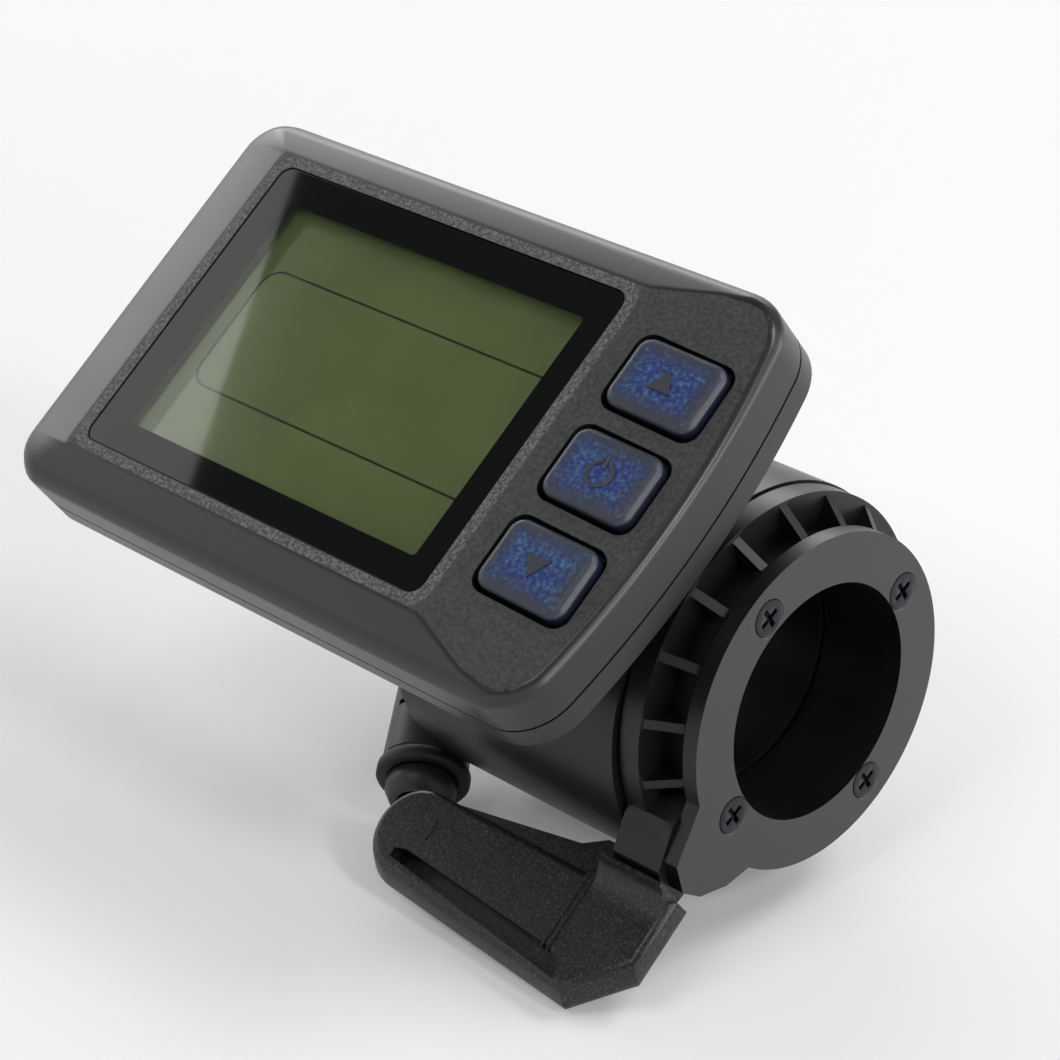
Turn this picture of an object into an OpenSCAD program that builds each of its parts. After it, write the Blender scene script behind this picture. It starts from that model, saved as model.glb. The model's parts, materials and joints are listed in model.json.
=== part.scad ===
// Handlebar display with a thumb throttle.
// X runs along the handlebar, with +X out of the throttle's end plate, and +Z is up.
// The rider sits on the -Y side.
// The origin is on the handlebar's axis, at the middle of the clamp sleeve.

/* [Handlebar clamp] */
// Diameter of the handlebar that the sleeve goes on
bar_d = 22.2; // [21.8:0.1:22.6]
// Radial clearance between the handlebar and the sleeve
bar_fit = 0.1; // [0.05:0.01:0.2]
// Length of the clamp sleeve along the handlebar
sleeve_len = 26.4; // [25.4:0.2:29]
// Wall thickness of the clamp sleeve
sleeve_wall = 1.5; // [1.3:0.05:1.6]
// Width of the clamp's end flange
end_flange_w = 6; // [5.4:0.2:7]
// Outer diameter of the fixed round housing
housing_d = 37.4; // [36.8:0.1:38.4]
// Wall thickness of the throttle housing
housing_wall = 1.8; // [1.5:0.05:2]
// Diameter of the set screw that grips the handlebar
clamp_screw_d = 4; // [3:0.5:4]

/* [Throttle lever] */
// Angle through which the lever turns when it is pushed, in degrees
lever_travel = 45; // [30:1:50]
// Distance from the end plate's outer face to the sleeve's end
plate_stand_off = 9.6; // [9.2:0.1:10.4]
// Outer diameter of the end plate
plate_d = 32.6; // [32:0.1:33.4]
// Thickness of the end plate
plate_t = 1.6; // [1.4:0.1:2]
// Diameter of the lever's rear flange
lever_flange_d = 37; // [36.4:0.1:37.2]
// Width of the lever's rear flange
lever_flange_w = 2.3; // [1.8:0.1:2.5]
// Distance from the end plate's outer face to the rear flange
lever_flange_inset = 4.9; // [4.5:0.1:5.1]
// Number of gusset ribs round the hub
rib_count = 18; // [12:1:20]
// Thickness of each gusset rib
rib_t = 0.9; // [0.7:0.05:1.2]
// Number of screws in the end plate
plate_screw_count = 4; // [3:1:6]
// Diameter of the circle that the end plate's screws lie on
plate_screw_circle_d = 26.6; // [26.4:0.1:26.8]

/* [Paddle] */
// Length of the paddle along the handlebar
paddle_len = 34.1; // [30:0.1:34.1]
// Depth of the paddle from its root to its front edge
paddle_depth = 11.8; // [10.5:0.2:13]
// Thickness of the paddle
paddle_t = 2.9; // [2.6:0.1:3.2]
// Slope of the paddle below the horizontal, in degrees
paddle_slope = 35; // [30:1:40]
// Distance from the handlebar's axis to the paddle's root
paddle_root_r = 22.6; // [22.2:0.1:23.4]
// Direction of the paddle's root seen along the handlebar, in degrees below the rider's side
paddle_root_dir = 31; // [28:1:34]

/* [Display head] */
// Tilt of the display's face towards the rider, in degrees
display_tilt = 34; // [26:1:38]
// Length of the display along the handlebar
display_len = 73.2; // [72:0.2:76]
// Height of the display's face
display_h = 44.9; // [44:0.1:47]
// Height of the display's face above the handlebar's axis
face_height = 29; // [28.8:0.1:30]
// Height of the display's underside above the handlebar's axis
under_height = 19.7; // [19.5:0.05:19.8]
// Height of the parting line above the display's underside
parting_rise = 2.4; // [2.2:0.1:2.6]
// Radius of the display's left-hand corners
left_corner_r = 4.5; // [4:0.5:6]
// Radius of the display's right-hand corners
right_corner_r = 6; // [5:0.5:7]
// Radius of the bowed right-hand end
end_bow_r = 98; // [80:1:140]
// Wall thickness of the case
case_wall = 1.8; // [1.6:0.05:2]
// Thickness of the case's top and bottom skins
case_skin = 1.1; // [1:0.05:1.3]
// Drop from the face to the outer edge of its rim
rim_drop = 2.2; // [1.6:0.1:2.6]
// Drop of the button panel from the window to its far edge
panel_drop = 2.1; // [1.4:0.1:2.3]

/* [Window] */
// Length of the lens
lens_len = 47; // [45:0.2:48]
// Height of the lens
lens_h = 33.7; // [32:0.1:34.4]
// Thickness of the lens
lens_t = 1.2; // [0.8:0.1:1.3]
// Width of the level land round the lens
land_w = 1.3; // [1:0.1:1.6]
// Length of the liquid crystal's visible area
view_len = 40.2; // [36:0.2:41]
// Height of the liquid crystal's visible area
view_h = 26.6; // [24:0.2:27]

/* [Buttons] */
// Length of each button's opening along the handlebar
button_len = 10.8; // [9.6:0.1:11.2]
// Height of each button's opening
button_h = 8.3; // [7.2:0.1:8.6]
// Distance from one button to the next
button_pitch = 10; // [9.6:0.1:10.2]
// How far the buttons stand above the panel
button_rise = 1.2; // [0.8:0.1:1.6]
// How far a button travels when it is pressed
button_travel = 0.5; // [0.3:0.05:0.5]

/* [Hidden] */
$fn = 96;

// Clearances: press seats, running fits, loose parts, faces that move past each other, and the cuts' overrun
seat_fit = 0.02;
run_fit = 0.06;
part_fit = 0.1;
face_gap = 0.3;
cut = 0.6;

// Handlebar clamp
bore_r = bar_d / 2 + bar_fit;
sleeve_r = bore_r + sleeve_wall;
housing_r = housing_d / 2;
housing_belly = 0.8;
housing_belly_dir = 50;
sleeve_x0 = -sleeve_len / 2;
sleeve_x1 = sleeve_len / 2;
flange_face_x = sleeve_x0 + end_flange_w;
clamp_screw_x = sleeve_x0 + end_flange_w / 2;
clamp_screw_dir = 330;
clamp_screw_hex_d = 2;
clamp_screw_hex_depth = 2.2;
clamp_screw_sink = 1;

// Stations along the handlebar, from the end plate inwards
ring_x = sleeve_x1 + plate_stand_off;
plate_x = ring_x - plate_t;
lever_flange_x1 = ring_x - lever_flange_inset;
lever_flange_x0 = lever_flange_x1 - lever_flange_w;
housing_x1 = lever_flange_x0 - face_gap;

// Hub of the lever
lever_bore_play = 0.25;
lever_bore_r = bore_r + lever_bore_play;
bush_wall = 0.6;
bush_r0 = sleeve_r + run_fit;
bush_r1 = bush_r0 + bush_wall;
hub_seat_r = bush_r1 + seat_fit;
skirt_wall = 1.2;
skirt_r = hub_seat_r + skirt_wall;
skirt_len = 9.4;
skirt_x0 = sleeve_x1 - skirt_len;
hub_shoulder_x = sleeve_x1 + face_gap;
plate_r = plate_d / 2;
lever_flange_r = lever_flange_d / 2;
drum_step = 0.3;
drum_taper = 1.2;
drum_r1 = plate_r - drum_step;
drum_r0 = drum_r1 - drum_taper;
rib_root = 0.8;
rib_foot = 0.3;
rib_top_inset = 0.35;
rib_sink = 1.2;
rib_first_dir = 47;

// Web in the housing, and the snap ring behind it
web_t = 2;
web_inset = 2.5;
web_x1 = housing_x1 - web_inset;
web_x0 = web_x1 - web_t;
web_r = skirt_r + face_gap;
housing_bore_r = housing_r - housing_wall;
snap_ring_t = 1;
snap_ring_depth = 0.5;
snap_ring_play = 0.7;
snap_ring_r1 = housing_bore_r - snap_ring_play;
snap_ring_x1 = web_x0 - face_gap;
snap_ring_x0 = snap_ring_x1 - snap_ring_t;
snap_ring_opening = 4;

// Stops that limit the lever's travel
stop_lug_angle = 24;
stop_block_angle = 14;
stop_margin_angle = 1.4;
stop_lug_r = housing_bore_r - face_gap;
stop_block_r = skirt_r + face_gap;
stop_dir = 0;
stop_block_reach = (lever_travel + stop_lug_angle + stop_block_angle) / 2 + stop_margin_angle;

// Magnet and sensor
magnet_len = 4;
magnet_t = 1.4;
magnet_angle = 70;
magnet_inset = 0.5;
magnet_x0 = skirt_x0 + magnet_inset;
magnet_r0 = skirt_r + seat_fit;
magnet_r1 = magnet_r0 + magnet_t;
sensor_len = 3;
sensor_w = 4;
sensor_t = 0.9;
sensor_z0 = magnet_r1 + face_gap + part_fit;
hall_board_len = 6.2;
hall_board_w = 7.2;
hall_board_t = 0.8;
hall_board_z0 = sensor_z0 + sensor_t;
hall_x = magnet_x0 + magnet_len / 2;
pocket_z1 = hall_board_z0 + hall_board_t + part_fit;
lead_d = 0.8;
lead_gap = 1.2;
lead_slot_len = 2;
lead_slot_w = 4.4;

// Return spring round the sleeve
spring_wire_d = 1;
spring_turns = 5;
spring_pitch = 1.5;
spring_play = 1.25;
spring_leg = 1.3;
spring_steps = 8;
spring_sides = 6;
spring_r = sleeve_r + spring_play + spring_wire_d / 2;

// Housing screws
housing_screw_count = 3;
housing_screw_d = 1.6;
housing_screw_head_d = 2.8;
housing_screw_head_h = 0.8;
housing_screw_grip = 5;
housing_boss_d = 2.6;
housing_boss_len = 6;
housing_screw_inset = 2.3;
housing_screw_r = housing_r - housing_screw_inset;
housing_screw_dir = 45;

// Screws of the end plate
plate_screw_r = plate_screw_circle_d / 2;
plate_screw_dir = 29;
plate_screw_d = 1.6;
plate_screw_head_d = 3.5;
plate_screw_head_h = 1;
plate_screw_grip = 4;
screw_recess_w = 0.5;
screw_recess_share = 0.62;
screw_recess_depth = 0.6;

// Tab of the end plate and arm of the lever: radii as steps from the paddle's root, directions from its own
tab_top_step = 1.8;
tab_edge_step = 1;
tab_low_step = 1.9;
tab_foot_step = 4;
arm_foot_angle = 19;
tab_top_angle = 7.7;
tab_edge_angle = 0.6;
tab_low_angle = 7.3;
tab_foot_angle = 15.3;
tab_end_angle = 22;
arm_root_r = drum_r0 - face_gap;
arm_shoulder_step = 4.2;
arm_shoulder_angle = 15;
arm_crest_step = 0.9;
arm_crest_angle = 6.5;
arm_sink = 0.5;

// Paddle
paddle_x1 = ring_x;
paddle_end_r = 4.3;
paddle_back_step = 1.4;
paddle_corner_depth = 6.7;
paddle_corner_len = 5.3;
paddle_root_len = 9;
paddle_flare = 1.2;
paddle_web_share = 0.35;
paddle_web_x0 = 29;
paddle_web_x1 = 13;
paddle_web_v = 0.85;
paddle_web_foot_x = 10.6;
paddle_web_foot_v = 2.3;
paddle_groove_len = 19.2;
paddle_groove_x = 9.3;
paddle_groove_w = 1.2;
paddle_groove_depth = 1.2;
paddle_groove_inset = 1.9;
paddle_ridge_w = 0.9;
paddle_panel_x = 10.4;
paddle_panel_len = 17.3;
paddle_panel_depth = 0.25;
paddle_panel_v = 4;
paddle_panel_w1 = 3.8;
paddle_panel_w0 = 2.1;
paddle_bar_x = 9.2;
paddle_bar_w = 0.35;
paddle_bar_h = 0.15;

// Cable gland: where its ring's middle lies, and which way it points
gland_x = -15.56;
gland_y = -14.8;
gland_z = -17.3;
gland_drop = 21.7;
gland_turn = 53.7;
gland_ring_r = 4.65;
gland_ring_w = 1.4;
gland_core_r = 3;
gland_body_r = 4.3;
gland_body_len = 9.2;
gland_tail_r = 3.5;
gland_neck_r = 3.45;
gland_neck_len = 1.2;
gland_slot_w = 0.6;
gland_slot_pitch = 1.2;
gland_slot_count = 2;
gland_stem_len = 11.8;
gland_seat_z = -gland_ring_w / 2 - gland_body_len - part_fit;
gland_cord_r = 2.2;
gland_cord_depth = 5;
tongue_len = 10;
tongue_wall = 4.6;
tongue_lift = 1;
tongue_r0 = bore_r + tongue_lift;
tongue_r1 = tongue_r0 + tongue_wall;
tongue_dir = 246;
tongue_angle = 40;

// Display head, in its own frame: x along the handlebar, y up its face and z out of it
display_inset = 4;
display_rise = 1.65;
display_x1 = ring_x - display_inset;
display_x0 = display_x1 - display_len;
display_y0 = display_rise - display_h / 2;
display_y1 = display_rise + display_h / 2;
parting_z = under_height + parting_rise;
seam_w = 0.25;
window_inset = 8.8;
window_lift = 0.2;
lens_x = display_x0 + window_inset + lens_len / 2;
lens_y = display_rise + window_lift;
lens_corner_r = 1.4;
lens_sink = 0.1;
ledge_w = 1.4;
ledge_t = 0.8;
lens_z0 = face_height - lens_sink - lens_t;
ledge_z0 = lens_z0 - ledge_t;
land_x0 = lens_x - lens_len / 2 - land_w;
land_x1 = lens_x + lens_len / 2 + land_w;
land_y0 = lens_y - lens_h / 2 - land_w;
land_y1 = lens_y + lens_h / 2 + land_w;
panel_slope = atan(panel_drop / (display_x1 - land_x1));
floor_z = under_height + case_skin;
slab = 4 * display_len;

// Case screws
case_screw_inset = 3.9;
case_screw_end_inset = 5.2;
case_screw_d = 1.9;
case_screw_len = 6.4;
case_screw_head_d = 3.4;
case_screw_head_h = 0.7;
case_boss_d = 4.1;
case_screw_places = [
    [display_x0 + case_screw_inset, display_y0 + case_screw_inset],
    [display_x0 + case_screw_inset, display_y1 - case_screw_inset],
    [display_x1 - case_screw_end_inset, display_y0 + case_screw_inset],
    [display_x1 - case_screw_end_inset, display_y1 - case_screw_inset]];
seal_inset = 0.6;
seal_w = 0.8;
seal_h = 0.8;

// Board and what it carries
board_gap = 0.8;
board_t = 1;
board_z0 = floor_z + board_gap;
board_z1 = board_z0 + board_t;
board_end_gap = 0.8;
board_bow = end_bow_r - sqrt(pow(end_bow_r, 2) - pow(display_h / 2 - case_screw_inset, 2));
board_x0 = display_x0 + case_screw_inset + case_boss_d / 2 + board_end_gap;
board_x1 = display_x1 - case_wall - board_end_gap - board_bow;
board_y0 = display_y0 + case_screw_inset + case_boss_d / 2 + part_fit;
board_y1 = display_y1 - case_screw_inset - case_boss_d / 2 - part_fit;
board_screw_d = 1.4;
board_screw_head_d = 2.4;
board_screw_head_h = 0.5;
board_post_d = 3;
board_screw_x = 17;
board_screw_y = 9.5;
board_screw_end_gap = 2.4;
board_screw_places = [
    [lens_x - board_screw_x, lens_y - board_screw_y],
    [lens_x - board_screw_x, lens_y + board_screw_y],
    [land_x1 + board_screw_end_gap / 2, lens_y + board_screw_y]];
chip_w = 7;
chip_t = 0.9;
chip_x = 5;

// Liquid crystal stack
panel_margin = 1.7;
panel_end_margin = 2;
panel_len = view_len + 2 * panel_margin;
panel_h = view_h + 2 * panel_end_margin;
lcd_t = 1.8;
frame_play = 0.1;
frame_wall = 1.3;
frame_top_z = ledge_z0 - part_fit / 2;
lcd_z1 = frame_top_z - part_fit;
lcd_z0 = lcd_z1 - lcd_t;
guide_t = 1.2;
guide_z1 = lcd_z0 - part_fit / 2;
guide_z0 = guide_z1 - guide_t;
guide_side_gap = 3;
guide_lip = 1.3;
lip_t = 0.45;
lip_end_w = 0.3;
frame_leg_d = 1.8;
strip_w = 1.4;
strip_len = 38;
strip_inset = 1.6;

// Buttons
button_end_gap = 2.9;
button_x = display_x1 - button_end_gap - button_len / 2;
button_lift = 0.4;
button_y = display_rise + button_lift;
button_corner_r = 1.6;
button_flange_w = 0.5;
button_flange_t = 0.55;
button_edge_x = button_x + button_len / 2 + button_flange_w;
button_drop = panel_drop * (button_edge_x - land_x1) / (display_x1 - land_x1);
button_flange_z1 = face_height - button_drop - case_skin - face_gap;
button_z0 = button_flange_z1 - button_flange_t;
membrane_t = 0.4;
membrane_z1 = button_z0 - button_travel - face_gap;
membrane_z0 = membrane_z1 - membrane_t;
membrane_margin = 1;
membrane_x0 = button_x - button_len / 2 - membrane_margin;
membrane_x1 = button_x + button_len / 2 - face_gap;
membrane_y0 = button_y - button_pitch - button_h / 2 - membrane_margin;
membrane_y1 = button_y + button_pitch + button_h / 2 + membrane_margin;
membrane_foot_d = 1.6;
switch_w = 3.4;
switch_t = 0.8;
plunger_r = 0.9;
plunger_z1 = membrane_z0 - part_fit;

// Saddle between the housing and the display head
saddle_len = 17.4;
saddle_w = 22;
saddle_seal_t = 0.3;
saddle_z1 = under_height - saddle_seal_t;
saddle_inset = 1.1;
saddle_x0 = flange_face_x + saddle_inset;
saddle_screw_inset_x = 3.4;
saddle_screw_inset_y = 3;
saddle_screw_d = 1.8;
saddle_screw_head_d = 3.2;
saddle_screw_head_h = 0.5;
saddle_screw_len = 4;
saddle_screw_places = [for (
    sx = [saddle_x0 + saddle_screw_inset_x, saddle_x0 + saddle_len - saddle_screw_inset_x],
    sy = [-saddle_w / 2 + saddle_screw_inset_y, saddle_w / 2 - saddle_screw_inset_y]) [sx, sy]];

// A point seen along the handlebar, by its distance from the axis and its direction below the rider's side
function around(r, dir) = [-r * cos(dir), -r * sin(dir)];

// A point of the paddle's section: v from its root to its front edge, d into its thickness
function paddle_point(v, d) = around(paddle_root_r, paddle_root_dir)
    + v * [-cos(paddle_slope), -sin(paddle_slope)] + d * [sin(paddle_slope), -cos(paddle_slope)];

// A rod along the handlebar
module rod(r, x0, x1) {
    translate([x0, 0, 0]) rotate([0, 90, 0]) cylinder(r = r, h = x1 - x0);
}

// A tube along the handlebar
module pipe(r0, r1, x0, x1) {
    difference() {
        rod(r1, x0, x1);
        rod(r0, x0 - cut, x1 + cut);
    }
}

// A section seen along the handlebar, drawn in y and z
module along(x0, x1) {
    translate([x0, 0, 0]) rotate([90, 0, 90]) linear_extrude(x1 - x0) children();
}

// A wedge round the handlebar's axis, less than half a turn
module wedge(r, dir, angle) {
    polygon([[0, 0], r * [cos(dir - angle / 2), sin(dir - angle / 2)],
        r * [cos(dir), sin(dir)] / cos(angle / 2), r * [cos(dir + angle / 2), sin(dir + angle / 2)]]);
}

// The fixed housing's round form, with a belly on the rider's lower side
module housing_form(x0, x1) {
    belly = around(housing_belly, housing_belly_dir);
    rod(housing_r, x0, x1);
    translate([0, belly[0], belly[1]]) rod(housing_r, x0, x1);
}

// Part of a tube along the handlebar
module arc_block(r0, r1, x0, x1, dir, angle) {
    intersection() {
        pipe(r0, r1, x0, x1);
        along(x0 - cut, x1 + cut) wedge(2 * r1, dir, angle);
    }
}

// Copies set round the handlebar's axis
module ring_of(count, first_dir) {
    for (i = [0 : count - 1]) rotate([first_dir + 360 * i / count, 0, 0]) children();
}

// The display head's own frame
module in_display() {
    rotate([display_tilt, 0, 0]) children();
}

// A flat rectangle with round corners
module round_rect(len, h, r) {
    square([len - 2 * r, h], center = true);
    square([len, h - 2 * r], center = true);
    for (sx = [-1, 1], sy = [-1, 1])
        translate([sx * (len / 2 - r), sy * (h / 2 - r)]) circle(r = r, $fn = 32);
}

// A round-cornered plate in the display's frame
module slab_at(x, y, len, h, r, z0, z1) {
    translate([x, y, z0]) linear_extrude(z1 - z0) round_rect(len, h, r);
}

// A square-cornered plate in the display's frame
module plate_at(x, y, len, h, z0, z1) {
    translate([x - len / 2, y - h / 2, z0]) cube([len, h, z1 - z0]);
}

// A peg in the display's frame
module peg_at(place, r, z0, z1) {
    translate([place[0], place[1], z0]) cylinder(r = r, h = z1 - z0, $fn = 32);
}

// Outline of the display head, drawn in by a margin: square middle, four round corners and the bowed end
module case_outline(inset) {
    half_h = display_h / 2;
    left_x = display_x0 + left_corner_r;
    bow_x = display_x1 - end_bow_r;
    spoke = [sqrt(pow(end_bow_r - right_corner_r, 2) - pow(half_h - right_corner_r, 2)),
        half_h - right_corner_r];
    right_x = bow_x + spoke[0];
    far = spoke * end_bow_r / (end_bow_r - 2 * right_corner_r);
    translate([0, display_rise]) {
        translate([left_x, -half_h + inset]) square([right_x - left_x, 2 * (half_h - inset)]);
        translate([display_x0 + inset, -half_h + left_corner_r])
            square([left_x - display_x0, 2 * (half_h - left_corner_r)]);
        for (side = [-1, 1]) {
            translate([left_x, side * (half_h - left_corner_r)]) circle(r = left_corner_r - inset);
            translate([right_x, side * spoke[1]]) circle(r = right_corner_r - inset);
        }
        intersection() {
            translate([bow_x, 0]) circle(r = end_bow_r - inset, $fn = 180);
            polygon([[right_x, -spoke[1]], [bow_x + far[0], -far[1]], [bow_x + far[0], far[1]],
                [right_x, spoke[1]]]);
        }
    }
}

// Display head between two heights, drawn in by a margin
module case_prism(inset, z0, z1) {
    translate([0, 0, z0]) linear_extrude(z1 - z0) case_outline(inset);
}

// Everything above a plane that falls away from a line of the face: side is the way it falls
module above_slope(x, y, z, side_turn, slope) {
    translate([x, y, z]) rotate([0, 0, side_turn]) rotate([0, slope, 0])
        translate([0, -slab / 2, 0]) cube([slab, slab, slab]);
}

// Upper form of the display head: level land, three rim slopes and the sloped button panel
module face_form(inset, sink) {
    top_z = face_height - sink;
    difference() {
        case_prism(inset, parting_z - (sink > 0 ? cut : 0), top_z);
        above_slope(0, land_y1, top_z, 90, atan(rim_drop / (display_y1 - land_y1)));
        above_slope(0, land_y0, top_z, -90, atan(rim_drop / (land_y0 - display_y0)));
        above_slope(land_x0, 0, top_z, 180, atan(rim_drop / (land_x0 - display_x0)));
        above_slope(land_x1, 0, top_z, 0, panel_slope);
    }
}

// Outline of a button's opening, drawn in by a margin
module button_outline(index, inset) {
    translate([button_x, button_y + index * button_pitch])
        round_rect(button_len - 2 * inset, button_h - 2 * inset, button_corner_r - inset);
}

// The gland's own frame, z along it
module in_gland() {
    translate([gland_x, gland_y, gland_z]) rotate([0, 90 + gland_drop, -gland_turn]) children();
}

// A cross recess in a screw's head, whose mouth lies at z = 0
module cross_recess(head_d) {
    for (turn = [0, 90]) rotate([0, 0, turn])
        translate([-head_d * screw_recess_share / 2, -screw_recess_w / 2, -screw_recess_depth])
            cube([head_d * screw_recess_share, screw_recess_w, screw_recess_depth + cut]);
}

// A countersunk screw that points down, with its face at z = 0
module sunk_screw(d, head_d, head_h, grip) {
    difference() {
        union() {
            translate([0, 0, -head_h]) cylinder(d1 = d, d2 = head_d, h = head_h, $fn = 32);
            translate([0, 0, -head_h - grip]) cylinder(d = d, h = head_h + grip, $fn = 32);
        }
        cross_recess(head_d);
    }
}

// The hole for such a screw
module sunk_hole(d, head_d, head_h, grip) {
    translate([0, 0, -head_h]) cylinder(d1 = d, d2 = head_d, h = head_h, $fn = 32);
    cylinder(d = head_d, h = cut, $fn = 32);
    translate([0, 0, -head_h - grip]) cylinder(d = d, h = head_h + grip, $fn = 32);
}

// A pan head screw in the display's frame, with its head on z
module pan_screw(place, d, head_d, head_h, len, z) {
    difference() {
        union() {
            peg_at(place, head_d / 2, z, z + head_h);
            peg_at(place, d / 2, z - len, z + head_h);
        }
        translate([place[0], place[1], z + head_h + screw_recess_depth / 2]) cross_recess(head_d);
    }
}

module clamp_body() {
    color("#2b2c2d") difference() {
        union() {
            pipe(bore_r, sleeve_r, sleeve_x0, sleeve_x1);
            difference() {
                housing_form(sleeve_x0, flange_face_x);
                rod(bore_r, sleeve_x0 - cut, flange_face_x + cut);
            }
            arc_block(tongue_r0, tongue_r1, sleeve_x0 - tongue_len, sleeve_x0 + cut,
                tongue_dir, tongue_angle);
        }
        ring_of(housing_screw_count, housing_screw_dir) translate([sleeve_x0, housing_screw_r, 0])
            rotate([0, -90, 0]) sunk_hole(housing_screw_d + part_fit, housing_screw_head_d + part_fit,
                housing_screw_head_h, end_flange_w);
        rotate([clamp_screw_dir, 0, 0]) translate([clamp_screw_x, 0, 0]) rotate([-90, 0, 0])
            cylinder(d = clamp_screw_d + 2 * seat_fit, h = housing_r + cut, $fn = 48);
        in_gland() translate([0, 0, -gland_stem_len - part_fit])
            cylinder(r = gland_core_r + seat_fit, h = gland_stem_len, $fn = 48);
        in_gland() translate([0, 0, gland_seat_z])
            cylinder(r = gland_body_r + part_fit, h = gland_stem_len, $fn = 48);
    }
}

module clamp_screw() {
    color("#3a3b3d") rotate([clamp_screw_dir, 0, 0]) translate([clamp_screw_x, 0, 0]) rotate([-90, 0, 0])
        difference() {
            translate([0, 0, bore_r + part_fit])
                cylinder(d = clamp_screw_d, h = housing_r - clamp_screw_sink - bore_r - part_fit, $fn = 48);
            translate([0, 0, housing_r - clamp_screw_sink - clamp_screw_hex_depth])
                cylinder(d = clamp_screw_hex_d, h = clamp_screw_hex_depth + cut, $fn = 6);
        }
}

module throttle_housing() {
    color("#242526") difference() {
        union() {
            difference() {
                union() {
                    housing_form(flange_face_x, housing_x1);
                    in_display() translate([saddle_x0, -saddle_w / 2, 0])
                        cube([saddle_len, saddle_w, saddle_z1]);
                }
                rod(housing_bore_r, flange_face_x - cut, housing_x1 + cut);
            }
            pipe(web_r, housing_bore_r + housing_wall / 2, web_x0, web_x1);
            for (side = [-1, 1])
                arc_block(stop_block_r, housing_bore_r + housing_wall / 2, web_x0, housing_x1,
                    stop_dir + lever_travel / 2 + side * stop_block_reach, stop_block_angle);
            ring_of(housing_screw_count, housing_screw_dir) translate([flange_face_x, housing_screw_r, 0])
                rotate([0, 90, 0]) cylinder(d = housing_boss_d, h = housing_boss_len, $fn = 32);
        }
        ring_of(housing_screw_count, housing_screw_dir)
            translate([flange_face_x - cut, housing_screw_r, 0]) rotate([0, 90, 0])
                cylinder(d = housing_screw_d + 2 * seat_fit, h = housing_boss_len, $fn = 32);
        in_display() {
            plate_at(hall_x, 0, hall_board_len + 2 * part_fit, hall_board_w + 2 * part_fit,
                housing_bore_r - housing_wall, pocket_z1);
            plate_at(hall_x, 0, lead_slot_len, lead_slot_w, pocket_z1 - cut, saddle_z1 + cut);
            for (place = saddle_screw_places)
                peg_at(place, saddle_screw_d / 2 + seat_fit, saddle_z1 - saddle_screw_len, saddle_z1 + cut);
        }
    }
}

module housing_screws() {
    color("#1f2021") ring_of(housing_screw_count, housing_screw_dir)
        translate([sleeve_x0, housing_screw_r, 0]) rotate([0, -90, 0])
            sunk_screw(housing_screw_d, housing_screw_head_d, housing_screw_head_h,
                end_flange_w - housing_screw_head_h + housing_screw_grip);
}

module cable_gland() {
    ring_z0 = -gland_ring_w / 2;
    body_z0 = ring_z0 - gland_body_len;
    color("#2e2f30") in_gland() difference() {
        union() {
            translate([0, 0, -gland_stem_len])
                cylinder(r = gland_core_r, h = gland_stem_len + gland_ring_w / 2 + gland_neck_len, $fn = 48);
            difference() {
                translate([0, 0, body_z0])
                    cylinder(r1 = gland_tail_r, r2 = gland_body_r, h = gland_body_len, $fn = 48);
                for (i = [1 : gland_slot_count]) translate([0, 0, body_z0 + i * gland_slot_pitch])
                    cylinder(r = gland_ring_r, h = gland_slot_w, $fn = 48);
            }
            translate([0, 0, gland_ring_w / 2]) cylinder(r = gland_neck_r, h = gland_neck_len, $fn = 48);
        }
        translate([0, 0, gland_ring_w / 2 + gland_neck_len - gland_cord_depth])
            cylinder(r = gland_cord_r, h = gland_cord_depth + cut, $fn = 48);
    }
}

module gland_ring() {
    color("#101112") in_gland() difference() {
        translate([0, 0, -gland_ring_w / 2 + seat_fit])
            cylinder(r = gland_ring_r, h = gland_ring_w - 2 * seat_fit, $fn = 48);
        translate([0, 0, -gland_ring_w])
            cylinder(r = gland_core_r + seat_fit, h = 2 * gland_ring_w, $fn = 48);
    }
}

module gusset_rib() {
    translate([0, 0, -rib_t / 2]) linear_extrude(rib_t) polygon([
        [lever_flange_x1 - rib_foot, drum_r0 - rib_sink],
        [lever_flange_x1 - rib_foot, lever_flange_r - rib_foot / 2],
        [plate_x - rib_root, drum_r1],
        [plate_x - rib_root / 2, drum_r1 - rib_top_inset],
        [plate_x - rib_root / 2, drum_r0 - rib_sink]]);
}

// Plan of the paddle, whose front edge is moved out by a flare
module paddle_plan(flare) {
    end_r = paddle_end_r + flare / 2;
    end_x = -paddle_len + end_r;
    polygon([[0, 0], [0, paddle_corner_depth], [-paddle_corner_len - flare / 2, paddle_depth + flare],
        [end_x, paddle_back_step + 2 * end_r], [end_x, paddle_back_step],
        [-paddle_root_len - paddle_back_step, paddle_back_step], [-paddle_root_len, 0]]);
    translate([end_x, paddle_back_step + end_r]) circle(r = end_r, $fn = 64);
}

// Web that stiffens the paddle's back edge from below
module paddle_web() {
    web_z = paddle_t * paddle_web_share;
    translate([0, 0, web_z]) linear_extrude(paddle_t - web_z)
        polygon([[lever_flange_x0 - ring_x + face_gap, -paddle_web_foot_v], [0, paddle_back_step],
            [-paddle_web_x0, paddle_back_step + arm_sink], [-paddle_web_x1, -paddle_web_v],
            [-paddle_web_foot_x, -paddle_web_foot_v]]);
}

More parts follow.
